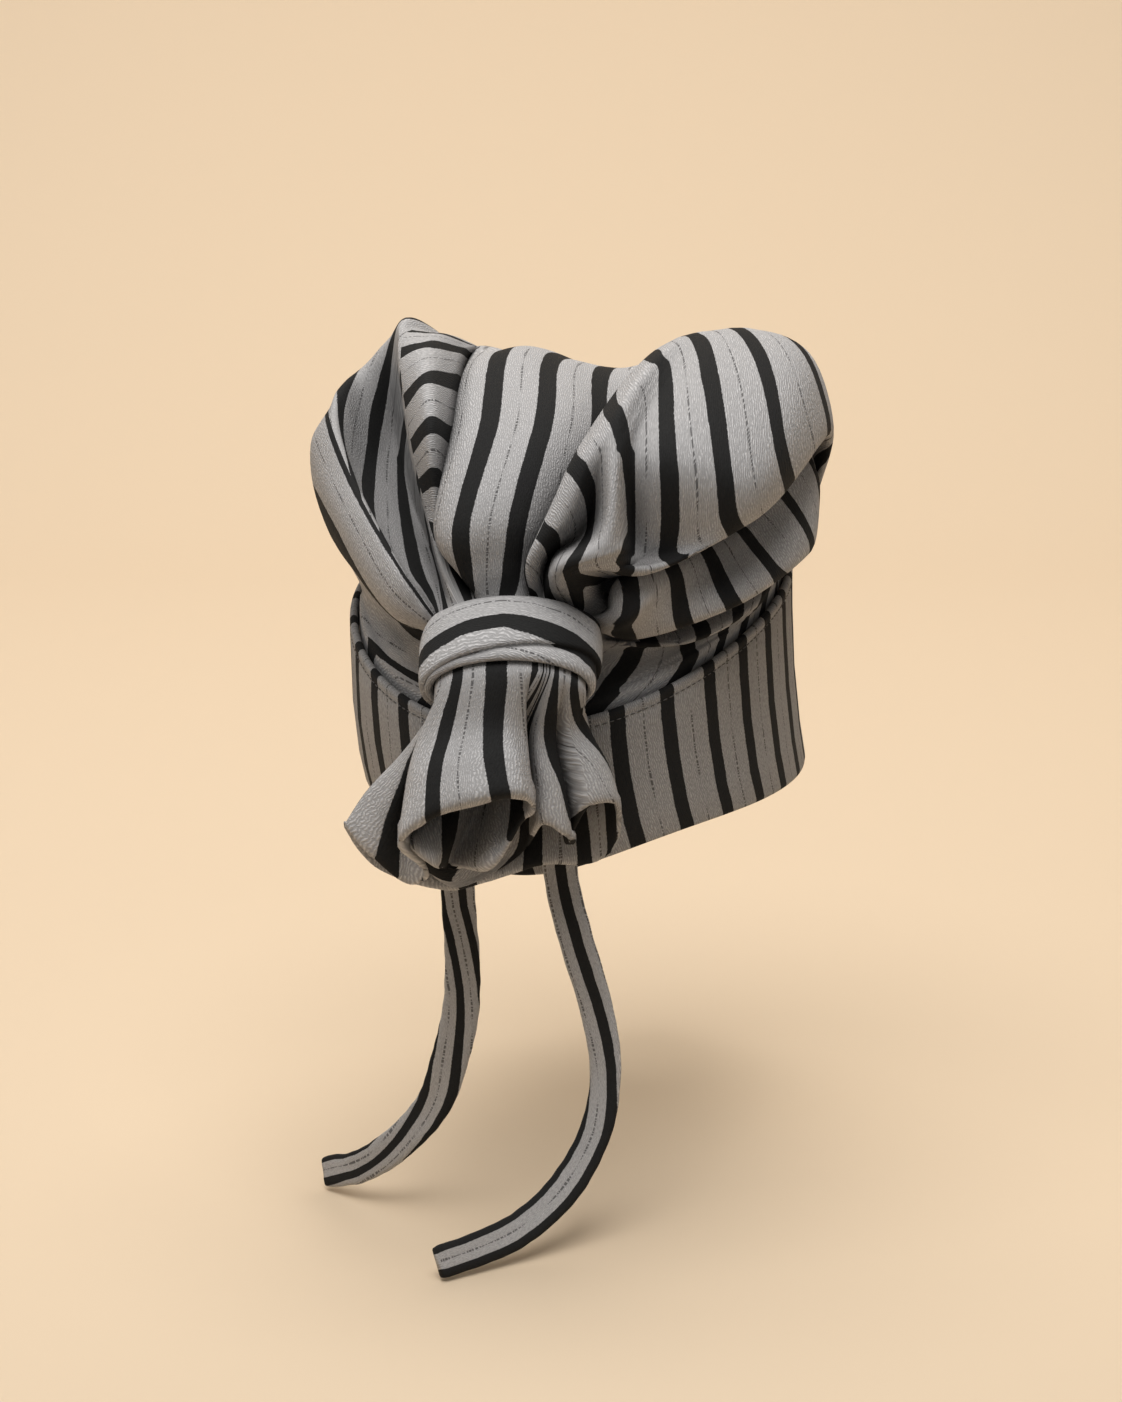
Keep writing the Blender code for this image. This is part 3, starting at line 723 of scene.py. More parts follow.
def build_tie(name):
    points, length = tie_route(name)
    line = smooth_line(points, 5)
    tangent = np.gradient(line, axis=0)
    tangent /= np.linalg.norm(tangent, axis=1, keepdims=True)
    facing = np.array([math.sin(VIEW_TURN), -math.cos(VIEW_TURN), 0.35])
    side = np.cross(tangent, np.tile(facing, (len(line), 1)))
    side = -side / np.linalg.norm(side, axis=1, keepdims=True)
    share = np.linspace(0, 1, len(line))
    turns = np.array(TIE_TURNS[name], float)
    turn = np.radians(np.interp(share, turns[:, 0], turns[:, 1]))
    wide = np.interp(share, turns[:, 0], turns[:, 2])
    face = np.cross(side, tangent)
    face *= np.sign((face @ facing))[:, None]
    width = side * np.cos(turn)[:, None] + face * np.sin(turn)[:, None]
    depth = np.cross(width, tangent)
    depth *= np.sign((depth @ facing))[:, None]
    section = np.array(TIE_SECTION)
    count = len(section)
    crimp = np.array([noise.noise((s * TIE_CRIMPS, 0.3, len(name))) for s in share]) * TIE_CRIMP_DEPTH
    rows = []
    for i, p in enumerate(line):
        half_w = TIE_WIDTH / 2 * (wide[i] + crimp[i])
        if share[i] > TIE_END_FROM:
            half_w *= 1 - TIE_END_TAPER * ((share[i] - TIE_END_FROM) / TIE_END_SPAN) ** 2
        rows.append(p + section[:, :1] * width[i] * half_w + section[:, 1:] * depth[i] * TIE_THICK / 2)
    rows = np.array(rows)
    faces = []
    for i in range(len(rows) - 1):
        for k in range(count):
            m = (k + 1) % count
            faces.append((i * count + k, i * count + m, (i + 1) * count + m, (i + 1) * count + k))
    faces.append(tuple(reversed(range(count))))
    faces.append(tuple((len(rows) - 1) * count + k for k in range(count)))
    mesh = mesh_from(name + "_strip", rows, faces)
    marks = np.array(TIE_STRIPES[name])
    left = np.interp(share, marks[:, 0], marks[:, 1])
    edge = np.interp(share, marks[:, 0], marks[:, 2])
    vertex = np.zeros(len(mesh.loops), np.int64)
    mesh.loops.foreach_get("vertex_index", vertex)
    row, spot = vertex // count, vertex % count
    cross = (section[spot, 0] + 1) / 2
    stripe = left[row] * (1 - cross) + edge[row] * cross
    gauge = TIE_WIDTH / np.maximum(np.abs(left - edge), 0.3)[row]
    set_maps(mesh, stripe, share[row] * length, gauge)
    piece = new_object(name + "_strip", mesh)
    mesh.materials.append(tie_cloth)
    bm = bmesh.new()
    bm.from_mesh(mesh)
    bmesh.ops.recalc_face_normals(bm, faces=bm.faces)
    bm.to_mesh(mesh)
    bm.free()
    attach(piece, "root")
    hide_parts(name)
    print(name, "is", round(float(length), 3), "m long")
    return piece


tie_left = build_tie("tie_left")
tie_right = build_tie("tie_right")

# %% [markdown]
# ## The band
#
# The band is a double layer of cloth round the head, turned in at the top edge with a row
# of stitches about 4 mm below it. It could be an extruded oval, but a swept section lets the
# edges be soft and the wall swell a little between them, as folded cloth does. The stripes
# stand upright, 20 mm apart, and lean a little because the band widens downwards.

# %% Band section and sweep
# name, how far up between rim and top edge, how far out from the head in walls
BAND_SECTION = (
    ("inner_rim", 0.02, 0.0),
    ("rim_turn_in", 0.004, 0.15),
    ("rim_turn", 0.0, 0.5),
    ("rim_turn_out", 0.006, 0.85),
    ("outer_rim", 0.025, 1.0),
    ("outer_low", 0.20, 1.05),
    ("outer_mid", 0.50, 1.08),
    ("outer_high", 0.80, 1.06),
    ("stitch_low", 0.875, 1.0),
    ("stitch_line", 0.895, 0.88),
    ("stitch_high", 0.915, 1.0),
    ("outer_top", 0.98, 1.0),
    ("top_turn_out", 0.995, 0.8),
    ("top_turn", 1.0, 0.5),
    ("top_turn_in", 0.995, 0.2),
    ("inner_top", 0.98, 0.0),
    ("inner_mid", 0.50, 0.0),
)
BAND_STEPS = 360
STITCH_BELOW_EDGE = 0.004
GROOVE_HALF_WIDTH = 0.0011
BAND_SEAM = math.radians(2)
BAND_FIRST = math.radians(29.2)
BAND_LEAN = math.radians(1.6)
BAND_PITCH = 0.0197
BAND_SWELL = 0.0006


def band_arc(angle):
    """Length of the band's outer line from the front to an angle."""
    fine = np.linspace(-math.pi, 2 * math.pi, 3001)
    line = on_oval(fine, -BAND_WALL, 0.0)
    run = np.concatenate([[0.0], np.cumsum(np.linalg.norm(np.diff(line, axis=0), axis=1))])
    return np.interp(angle, fine, run) - np.interp(0.0, fine, run)


def band_line(angles, level, out, swell=0.0):
    """A line round the band: level is its share of the height, out its place in the wall."""
    low = rim_height(angles)
    high = band_top(angles)
    flare = BAND_FLARE * (1 - level) ** 2
    sag = turned(np.array([1.0, 0.0, 0.0])) * BAND_SAG * ((1 - level) ** BAND_SAG_POWER)[:, None]
    return on_oval(angles, -(out * BAND_WALL + flare + swell), low + (high - low) * level) + sag


def build_band():
    angles = BAND_SEAM + np.arange(BAND_STEPS) * 2 * math.pi / BAND_STEPS
    low = rim_height(angles)
    high = band_top(angles)
    stitch_at = 1 - STITCH_BELOW_EDGE / (high - low)
    groove = GROOVE_HALF_WIDTH / (high - low)
    sections = []
    for label, share, out in BAND_SECTION:
        level = np.full(BAND_STEPS, share)
        if label == "stitch_line":
            level = stitch_at
        if label == "stitch_low":
            level = stitch_at - groove
        if label == "stitch_high":
            level = stitch_at + groove
        swell = np.zeros(BAND_STEPS)
        if 0.1 < share < 0.85 and out > 0.5:
            spots = [(math.cos(a) * 2.2, math.sin(a) * 2.2, share * 2) for a in angles]
            swell = np.array([noise.noise(spot) for spot in spots]) * BAND_SWELL
        sections.append(band_line(angles, level, out, swell))
    sections = np.array(sections).transpose(1, 0, 2)
    around, deep = sections.shape[:2]
    faces = tube_faces(around, deep)
    mesh = mesh_from("band_sleeve", sections, faces)
    # Stripe numbers run from the first stripe right of the knot all the way round
    corner = np.array(faces)
    row = corner // deep
    spot = corner % deep
    unwrapped = angles[row] + np.where(past_seam(corner, deep, around), 2 * math.pi, 0)
    share = np.array([r[1] for r in BAND_SECTION])[spot]
    turned_back = unwrapped + BAND_LEAN * (share - 1)
    stripe = (band_arc(turned_back) - band_arc(BAND_FIRST)) / BAND_PITCH
    height = low[row] + (high - low)[row] * share
    set_maps(mesh, stripe.ravel(), height.ravel(), np.full(stripe.size, BAND_PITCH))
    mesh.materials.append(band_cloth)
    piece = new_object("band_sleeve", mesh)
    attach(piece, "root")
    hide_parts("band")
    heights = round(float(low.min()), 3), round(float(high.max()), 3)
    print("band", len(mesh.polygons), "faces, heights", *heights)
    return piece


band = build_band()

# %% [markdown]
# ### Stitches along the band's edge
#
# One row of machine stitches holds the band's turned-in edge. Every stitch is the same short
# rounded bar of thread, so they are made by Geometry Nodes: the tree turns a line of edges
# into a curve, marks it off in equal steps, sets one bar on each step along the curve, and
# makes the bars real. The slight unevenness comes from a random value with a fixed seed.

# %% Thread
thread = bpy.data.materials.new("sewing_thread")
thread.use_nodes = True
t = thread.node_tree
thread_place = t.nodes.new("ShaderNodeTexCoord").outputs["Object"]
thread_worn = t.nodes.new("ShaderNodeGroup")
thread_worn.node_tree = tone_and_painted_shade
thread_worn.inputs["Amount"].default_value = 0.5
t.links.new(thread_place, thread_worn.inputs["Place"])
thread_mix = t.nodes.new("ShaderNodeMix")
thread_mix.data_type = "RGBA"
thread_mix.inputs["A"].default_value = (0.045, 0.044, 0.043, 1.0)
thread_mix.inputs["B"].default_value = (0.13, 0.125, 0.12, 1.0)
t.links.new(thread_worn.outputs["Fuzz"], thread_mix.inputs["Factor"])
t.links.new(thread_mix.outputs["Result"], t.nodes["Principled BSDF"].inputs["Base Color"])
thread_bump = t.nodes.new("ShaderNodeBump")
thread_bump.inputs["Strength"].default_value = 0.3
thread_bump.inputs["Distance"].default_value = 0.0002
t.links.new(noise_node(t, thread_place, 4200.0, 1.0), thread_bump.inputs["Height"])
t.links.new(thread_bump.outputs["Normal"], t.nodes["Principled BSDF"].inputs["Normal"])
t.nodes["Principled BSDF"].inputs["Roughness"].default_value = 0.62
print("material", thread.name)

# %% Tree that sets stitches along a line
STITCH_SPACING = 0.0027
STITCH_LENGTH = 0.0019
STITCH_THICKNESS = 0.00045
STITCH_UNEVENNESS = 0.10


def stitch_tree():
    tree = bpy.data.node_groups.new("stitch_row", "GeometryNodeTree")
    tree.interface.new_socket("Path", in_out="INPUT", socket_type="NodeSocketGeometry")
    for label in ("Spacing", "Length", "Thickness", "Unevenness"):
        tree.interface.new_socket(label, in_out="INPUT", socket_type="NodeSocketFloat")
    tree.interface.new_socket("Thread", in_out="INPUT", socket_type="NodeSocketMaterial")
    tree.interface.new_socket("Stitches", in_out="OUTPUT", socket_type="NodeSocketGeometry")
    enter = tree.nodes.new("NodeGroupInput").outputs
    leave = tree.nodes.new("NodeGroupOutput").inputs
    link = tree.links.new
    curve = tree.nodes.new("GeometryNodeMeshToCurve")
    link(enter["Path"], curve.inputs["Mesh"])
    steps = tree.nodes.new("GeometryNodeResampleCurve")
    steps.mode = "LENGTH"
    link(curve.outputs[0], steps.inputs["Curve"])
    link(enter["Spacing"], steps.inputs["Length"])
    ball = tree.nodes.new("GeometryNodeMeshUVSphere")
    ball.inputs["Segments"].default_value = 6
    ball.inputs["Rings"].default_value = 5
    ball.inputs["Radius"].default_value = 0.5
    size = combine(tree, enter["Thickness"], enter["Thickness"])
    link(enter["Length"], size.node.inputs["Z"])
    bar = tree.nodes.new("GeometryNodeTransform")
    link(ball.outputs["Mesh"], bar.inputs["Geometry"])
    link(size, bar.inputs["Scale"])
    aim = tree.nodes.new("FunctionNodeAlignRotationToVector")
    aim.axis = "Z"
    link(tree.nodes.new("GeometryNodeInputTangent").outputs[0], aim.inputs["Vector"])
    chance = tree.nodes.new("FunctionNodeRandomValue")
    chance.data_type = "FLOAT"
    link(math_node(tree, "SUBTRACT", 1.0, enter["Unevenness"]), chance.inputs[2])
    link(math_node(tree, "ADD", 1.0, enter["Unevenness"]), chance.inputs[3])
    chance.inputs["Seed"].default_value = 11
    row = tree.nodes.new("GeometryNodeInstanceOnPoints")
    link(steps.outputs[0], row.inputs["Points"])
    link(bar.outputs[0], row.inputs["Instance"])
    link(aim.outputs[0], row.inputs["Rotation"])
    link(chance.outputs[1], row.inputs["Scale"])
    real = tree.nodes.new("GeometryNodeRealizeInstances")
    link(row.outputs[0], real.inputs[0])
    smooth = tree.nodes.new("GeometryNodeSetShadeSmooth")
    link(real.outputs[0], smooth.inputs["Geometry"])
    finish = tree.nodes.new("GeometryNodeSetMaterial")
    link(smooth.outputs[0], finish.inputs["Geometry"])
    link(enter["Thread"], finish.inputs["Material"])
    link(finish.outputs[0], leave["Stitches"])
    return tree


stitch_row = stitch_tree()
print("tree", stitch_row.name, len(stitch_row.nodes), "nodes")

# %% Stitches of the band


def sew(name, line, on_piece):
    """Sets a row of stitches along a closed line of points."""
    edges = [(i, (i + 1) % len(line)) for i in range(len(line))]
    mesh = bpy.data.meshes.new(name)
    mesh.from_pydata([tuple(p) for p in line], edges, [])
    piece = new_object(name, mesh)
    values = {
        "Spacing": STITCH_SPACING,
        "Length": STITCH_LENGTH,
        "Thickness": STITCH_THICKNESS,
        "Unevenness": STITCH_UNEVENNESS,
        "Thread": thread,
    }
    modifier = piece.modifiers.new("stitches", "NODES")
    modifier.node_group = stitch_row
    for socket in stitch_row.interface.items_tree:
        if socket.in_out == "INPUT" and socket.name in values:
            modifier[socket.identifier] = values[socket.name]
    apply_modifiers(piece)
    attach(piece, "root")
    print(name, "on", on_piece.name, len(piece.data.polygons), "faces")
    return piece


stitch_angles = np.linspace(0, 2 * math.pi, 720, endpoint=False)
stitch_level = 1 - STITCH_BELOW_EDGE / (band_top(stitch_angles) - rim_height(stitch_angles))
band_stitches = sew("band_stitches", band_line(stitch_angles, stitch_level, 0.94), band)

# %% [markdown]
# ## The crown
#
# The crown is one sheet of cloth. It comes up out of the knot in pleats, rises over two high
# folds and falls at the back into the band, where it is gathered. A cloth simulation would
# find folds of its own, not these, so the folds are given one by one: each row of the table
# is a fold line from the knot's throat to the band's top edge, and the
# surface is a smooth skin over all the lines. The wall is then given its thickness by Solidify.

# %% Fold lines of the crown
# near, mid and ridge are (across, toward, up) in shares of the crown's three sizes;
# the throat angle is 0 on the right and 90 on top, the hem angle 0 at the front; dip is
# how far the line dips in between the knot and near, in shares of the crown's reach.
NECK = None
CROWN_FOLDS = (
    ("roll_low", 196, 0.00, (-0.62, 0.86, 0.44), (-0.82, 0.50, 0.53), (-0.92, 0.05, 0.58), -92),
    ("roll_crest", 188, -0.01, (-0.64, 0.93, 0.50), (-0.86, 0.52, 0.65), (-0.965, 0.06, 0.74), -110),
    ("roll_lip", 180, 0.00, (-0.60, 0.94, 0.545), (-0.79, 0.57, 0.70), (-0.895, 0.13, 0.82), -124),
    ("roll_return", 172, 0.04, (-0.59, 0.81, 0.52), (-0.80, 0.36, 0.69), (-0.86, 0.04, 0.86), -133),
    ("pocket_in", 164, 0.04, (-0.54, 0.71, 0.525), (-0.74, 0.12, 0.70), (-0.785, -0.08, 0.895), -141),
    ("pocket_floor", 156, 0.04, (-0.50, 0.62, 0.535), (-0.665, 0.02, 0.73), (-0.69, -0.06, 0.955), -150),
    ("peak", 147, 0.03, (-0.495, 0.72, 0.565), (-0.61, 0.22, 0.79), (-0.64, 0.00, 1.000), -158),
    ("small_roll", 138, -0.01, (-0.488, 0.85, 0.603), (-0.580, 0.60, 0.812), (-0.612, 0.12, 0.987), -165),
    ("shoulder", 131, 0.00, (-0.476, 0.84, 0.606), (-0.512, 0.77, 0.845), (-0.505, 0.14, 0.982), -169),
    ("shoulder_edge", 125, 0.03, (-0.466, 0.74, 0.602), (-0.452, 0.60, 0.822), (-0.415, 0.05, 0.950), -173),
    ("shoulder_valley", 119, 0.10, (-0.462, 0.56, 0.593), (-0.436, -0.05, 0.765), (-0.385, -0.06, 0.930), -177),
    ("centre_left", 112, 0.00, (-0.462, 1.00, 0.625), (-0.402, 0.77, 0.812), (-0.322, 0.16, 0.942), 178),
    ("centre_a", 103, 0.00, (-0.33, 1.05, 0.665), (-0.24, 0.76, 0.835), (-0.20, 0.15, 0.955), 172),
    ("centre_b", 93, 0.00, (-0.21, 1.04, 0.665), (-0.08, 0.74, 0.835), (-0.04, 0.11, 0.925), 166),
    ("centre_right", 83, 0.01, (-0.12, 0.96, 0.64), (0.10, 0.60, 0.80), (0.15, 0.05, 0.90), 160),
    ("centre_tuck", 76, 0.07, (-0.07, 0.84, 0.61), (0.16, 0.50, 0.78), (0.30, -0.03, 0.915), 155),
    ("turn_edge", 71, NECK, (-0.124, 1.10, 0.655), (-0.003, 0.95, 0.802), (0.34, 0.14, 0.96), 149),
    ("turn_face", 68, NECK, (-0.057, 1.12, 0.674), (0.061, 1.02, 0.833), (0.38, 0.14, 0.97), 145),
    ("turn_valley", 64, NECK, (0.030, 0.99, 0.645), (0.098, 1.04, 0.836), (0.42, 0.13, 0.98), 141),
    ("roll_top", 58, NECK, (0.083, 1.20, 0.645), (0.134, 1.06, 0.816), (0.46, 0.13, 0.985), 137),
    ("roll_front", 48, NECK, (0.113, 1.20, 0.624), (0.186, 0.99, 0.802), (0.52, 0.12, 0.99), 133),
    ("lobe_a", 38, NECK, (0.114, 1.18, 0.603), (0.300, 1.04, 0.794), (0.63, 0.08, 0.99), 127),
    ("lobe_crest", 29, NECK, (0.121, 1.14, 0.584), (0.57, 1.00, 0.73), (0.84, 0.05, 0.935), 119),
    ("lobe_lip", 20, NECK, (0.213, 1.05, 0.560), (0.60, 0.92, 0.66), (0.925, 0.10, 0.77), 112),
    ("lobe_under", 14, NECK, (0.096, 0.86, 0.53), (0.50, 0.52, 0.685), (0.84, -0.06, 0.74), 105),
    ("eye_back", 10, NECK, (0.117, 0.86, 0.50), (0.50, 0.54, 0.665), (0.85, -0.03, 0.71), 102),
    ("tuck_edge", 6, NECK, (0.138, 1.03, 0.535), (0.52, 0.64, 0.625), (0.87, 0.02, 0.68), 100),
    ("tuck_top", 1, NECK, (0.253, 1.00, 0.515), (0.55, 0.70, 0.585), (0.88, 0.06, 0.65), 98),
    ("tuck_crest", -4, 0.00, (0.19, 0.93, 0.413), (0.55, 0.87, 0.476), (0.84, 0.27, 0.524), 93),
    ("tuck_under", -15, 0.02, (0.14, 0.68, 0.418), (0.46, 0.52, 0.465), (0.735, 0.15, 0.500), 84),
    ("low_panel", -30, 0.00, (0.12, 0.81, 0.385), (0.41, 0.75, 0.385), (0.635, 0.47, 0.42), 72),
)
# Lines that roll over on themselves: the neck point and its stripe number, then points on
# the way from the neck to near and points on the way from near to mid
ROLLED = {
    "turn_edge": ((-0.175, 1.12, 0.583), -1.55, (), ()),
    "turn_face": ((-0.138, 1.09, 0.588), -1.35, (), ()),
    "turn_valley": ((-0.101, 0.99, 0.585), -1.05, (), ()),
    "roll_top": ((-0.063, 1.19, 0.591), -0.45, (), ()),
    "roll_front": ((-0.050, 1.20, 0.584), -0.15, (), ((0.169, 0.99, 0.635),)),
    "lobe_a": ((-0.037, 1.19, 0.579), -0.05, (), ((0.195, 0.99, 0.595),)),
    "lobe_crest": ((-0.027, 1.17, 0.573), 0.00, (), ((0.212, 1.00, 0.575),)),
    "lobe_lip": ((-0.013, 1.13, 0.562), 0.05, ((0.068, 1.07, 0.575),), ()),
    "lobe_under": ((0.060, 0.98, 0.497), -0.38, (), ()),
    "eye_back": ((0.090, 0.97, 0.468), -0.50, (), ()),
    "tuck_edge": ((0.114, 1.06, 0.480), -0.34, (), ()),
    "tuck_top": ((0.150, 1.07, 0.462), -0.08, (), ()),
}
# Short lines below the knot: throat angle, hem angle, how far they hang back
LOW_FOLDS = (
    ("right_low", -46, 52, 0.02),
    ("front_right", -66, 26, 0.06),
    ("front_low", -90, 0, 0.09),
    ("front_left", -112, -20, 0.07),
    ("cheek_low", -132, -40, 0.04),
    ("cheek_high", -150, -64, 0.0),
)
LINE_NAMES = [row[0] for row in CROWN_FOLDS + LOW_FOLDS]
CROWN_SPANS = (2, 6, 12, 24, 22, 22, 14, 3)
BACK_PUFF = 0.014
BACK_FULL = 0.040
BACK_WAVES = 14
BACK_GATHER = 0.30
NECK_PLACE = 0.45
HEM_LIP = 0.003
THROAT_INSET = 0.002
LOW_MOUTH = 0.005
LOW_PLACES = (0.12, 0.3, 0.5, 0.75, 0.9)
# The run of lines low on the left opens only part of the way toward the hem
FRONT_OPENING = 0.45
RING_AXIS = np.array([0.0, math.cos(RING_SLOPE), -math.sin(RING_SLOPE)])
RING_RISE = np.array([0.0, math.sin(RING_SLOPE), math.cos(RING_SLOPE)])
print(len(LINE_NAMES), "fold lines")

# %% Points of one fold line


def on_ring(degrees, along, lift):
    """A point round the knot's axis; lift is measured from the ring's inner wall."""
    a = np.radians(degrees)
    side = (RING_HALF_WIDTH + lift) * np.cos(a)
    rise = (RING_HALF_DEPTH + lift) * np.sin(a)
    side = np.asarray(side)[..., None] * np.array([1.0, 0.0, 0.0])
    rise = np.asarray(rise)[..., None] * RING_RISE
    return KNOT_CENTRE + side + rise + np.asarray(along)[..., None] * RING_AXIS


def hem(angle, height):
    """A point of the crown's hem just inside the band, measured from the band's top edge."""
    return unturned(on_oval(angle, SEAT, band_top(angle) + height))


def crown_line(row):
    name, throat, dip, near, mid, ridge, hem_degrees = row
    angle = math.radians(hem_degrees)
    near, mid, ridge = (np.array(share) * CROWN_SIZE for share in (near, mid, ridge))
    over = hem(angle, HEM_LIP)
    backness = max(0.0, -math.cos(angle))
    waves = 1 + BACK_GATHER * math.cos(BACK_WAVES * angle)
    puff = waves * BACK_PUFF * (0.25 + backness) * min(1.0, max(0.0, ridge[2] - over[2]) / BACK_FULL)
    outward = unturned(np.array([math.sin(angle), -math.cos(angle), 0.0]))
    drop = 0.35 * ridge + 0.65 * over + outward * puff
    drop[2] = 0.5 * ridge[2] + 0.5 * over[2]
    inside = on_ring(throat, -THROAT_INSET, -SEAT)
    mouth = on_ring(throat, -RING_LENGTH / 2 - THROAT_INSET, -SEAT)
    if name in ROLLED:
        neck = np.array(ROLLED[name][0]) * CROWN_SIZE
    else:
        neck = mouth + NECK_PLACE * (near - mouth) - np.array([0.0, dip * CROWN_SIZE[1], 0.0])
    return np.array([inside, mouth, neck, near, mid, ridge, drop, over, hem(angle, -HEM_TUCK)])


def full_line(name, row):
    """A line's stations with its extra points put in, and the samples of each span."""
    points = []
    counts = []
    for k, count in enumerate(CROWN_SPANS):
        points.append(row[k])
        extra = ROLLED[name][k] if name in ROLLED and k in (2, 3) else ()
        shares = [count // (len(extra) + 1)] * (len(extra) + 1)
        shares[-1] += count - sum(shares)
        counts += shares
        if extra:
            spots = [np.array(place) * CROWN_SIZE for place in extra]
            stops = np.array([row[k][:3], *spots, row[k + 1][:3]])
            run = np.concatenate([[0.0], np.cumsum(np.linalg.norm(np.diff(stops, axis=0), axis=1))])
            for spot, part in zip(spots, run[1:-1] / run[-1]):
                points.append(np.array([*spot, row[k][3] * (1 - part) + row[k + 1][3] * part]))
    points.append(row[-1])
    return np.array(points), counts


def low_line(row):
    _, throat, hem_degrees, hang = row
    angle = math.radians(hem_degrees)
    over = hem(angle, HEM_LIP)
    inside = on_ring(throat, -THROAT_INSET, -SEAT)
    mouth = on_ring(throat, -RING_LENGTH / 2 - LOW_MOUTH, -SEAT)
    between = []
    for share in LOW_PLACES:
        point = mouth + (over - mouth) * share
        between.append(point - np.array([0.0, hang * CROWN_SIZE[1], 0.0]) * math.sin(math.pi * share ** 0.7))
    return np.array([inside, mouth, *between, over, hem(angle, -HEM_TUCK)])


# %% [markdown]
# ### Where the stripes run on the crown
#
# On the real wrap the cloth changes direction at each fold, so the stripes run down from the
# knot on some folds and across them on others. The table below gives, for each run of fold
# lines, the stripe number near the knot, half way and on the ridge. Runs meet in a valley,
# where the change of direction is hidden, as it is in the real folds.

# %% Stripe numbers of the crown
# For each run: whether the stripes run along or across the lines, then for each line the
# stripe number at the knot's mouth, near it, half way and on the ridge
STRIPE_RUNS = (
    ("along", (
        ("front_low", 2.3, 2.3, 2.6, 2.9),
        ("front_left", 1.35, 1.35, 1.60, 1.85),
        ("cheek_low", 1.10, 1.10, 1.35, 1.60),
        ("cheek_high", 0.80, 0.80, 1.05, 1.25),
        ("roll_low", 0.85, 0.92, 1.05, 1.00),
        ("roll_crest", 0.50, 0.60, 0.74, 0.62),
        ("roll_lip", 0.05, 0.12, 0.06, 0.02),
    )),
    ("along", (
        ("roll_lip", 0.45, 0.45, -1.1, -1.6),
        ("roll_return", 0.75, 0.75, -0.40, -1.10),
        ("pocket_in", 1.20, 1.20, 0.15, -0.75),
        ("pocket_floor", 1.85, 1.85, 0.70, -0.35),
        ("peak", 2.20, 2.20, 1.05, 0.10),
        ("small_roll", 2.60, 2.60, 1.50, 0.50),
    )),
    ("across", (
        ("small_roll", 0.50, 0.80, 3.37, 5.90),
        ("shoulder", 0.70, 1.00, 3.05, 5.80),
        ("shoulder_edge", 0.90, 1.20, 3.15, 5.30),
        ("shoulder_valley", 1.30, 1.60, 3.20, 5.15),
    )),
    ("along", (
        ("shoulder_valley", 0.10, -0.75, -0.95, -0.60),
        ("centre_left", 0.30, -0.36, -0.44, -0.38),
        ("centre_a", 0.72, 0.34, 0.36, 0.31),
        ("centre_b", 1.00, 0.98, 1.23, 1.19),
        ("centre_right", 1.35, 1.42, 2.20, 2.23),
        ("centre_tuck", 1.65, 1.75, 2.45, 3.05),
        ("turn_edge", 2.00, 2.20, 3.60, 4.00),
    )),
    ("across", (
        ("turn_edge", -2.10, -1.00, 0.14, 2.80),
        ("turn_face", -1.90, -0.70, 0.55, 3.03),
        ("turn_valley", -1.50, -0.15, 0.72, 3.30),
        ("roll_top", -1.15, 0.60, 0.90, 3.53),
        ("roll_front", -0.90, 0.80, 1.18, 3.85),
        ("lobe_a", -0.65, 0.80, 2.00, 4.45),
        ("lobe_crest", -0.40, 0.76, 3.38, 5.38),
        ("lobe_lip", -0.05, 1.32, 3.36, 5.38),
        ("lobe_under", -0.38, -0.25, 3.10, 5.25),
        ("eye_back", -0.50, -0.42, 3.00, 5.20),
        ("tuck_edge", -0.45, -0.20, 2.90, 5.15),
        ("tuck_top", -0.35, 0.45, 2.75, 5.10),
        ("tuck_crest", -0.40, 0.10, 2.10, 4.20),
        ("tuck_under", -0.80, -0.20, 1.60, 3.30),
        ("low_panel", -1.00, -0.50, 0.82, 2.90),
        ("right_low", -1.30, -0.77, -0.13, 0.48),
        ("front_right", -1.70, -1.25, -0.85, -0.40),
        ("front_low", -2.30, -2.10, -1.90, -1.70),
    )),
)
STATIONS = 9


def run_stripes(kind, run, lines):
    """Stripe numbers at the stations of every fold line, for one run of lines."""
    names = [row[0] for row in run]
    first = LINE_NAMES.index(names[0])
    count = len(LINE_NAMES)
    length = np.linalg.norm(np.diff(lines, axis=1), axis=2)
    table = np.zeros((len(names), STATIONS))
    for i, (name, mouth, near, mid, ridge) in enumerate(run):
        line = (first + i) % count
        assert LINE_NAMES[line] == name, name
        neck = 0.5 * mouth + 0.5 * near
        if kind == "across" and name in ROLLED:
            neck = ROLLED[name][1]
        table[i, :6] = mouth, mouth, neck, near, mid, ridge
        if kind == "across":
            table[i, 0] = mouth - length[line, 0] / STRIPE_PITCH
            for k in (6, 7, 8):
                table[i, k] = table[i, k - 1] + length[line, k - 1] / STRIPE_PITCH
        else:
            table[i, 6:] = ridge
    if kind == "along":
        # Toward the hem the stripes open out to their real spacing
        hems = np.array([lines[(first + i) % count, 7] for i in range(len(names))])
        run_length = np.concatenate([[0.0], np.cumsum(np.linalg.norm(np.diff(hems, axis=0), axis=1))])
        sense = np.sign(table[-1, 5] - table[0, 5])
        opening = FRONT_OPENING if names[0] == "front_low" else 1.0
        spread = opening * sense * (run_length - run_length.mean()) / STRIPE_PITCH + table[:, 5].mean()
        table[:, 6] = 0.6 * table[:, 5] + 0.4 * spread
        table[:, 7:] = spread[:, None]
    full = np.zeros((count, STATIONS))
    for step in range(count):
        i = min(step, len(names) - 1)
        full[(first + step) % count] = table[i]
    before = 2 * table[0] - table[1]
    after = 2 * table[-1] - table[-2]
    full[(first - 1) % count] = before
    full[(first + len(names)) % count] = after
    return first, len(names) - 1, full


# %% Lay the crown's sheet
CROWN_BETWEEN = 8


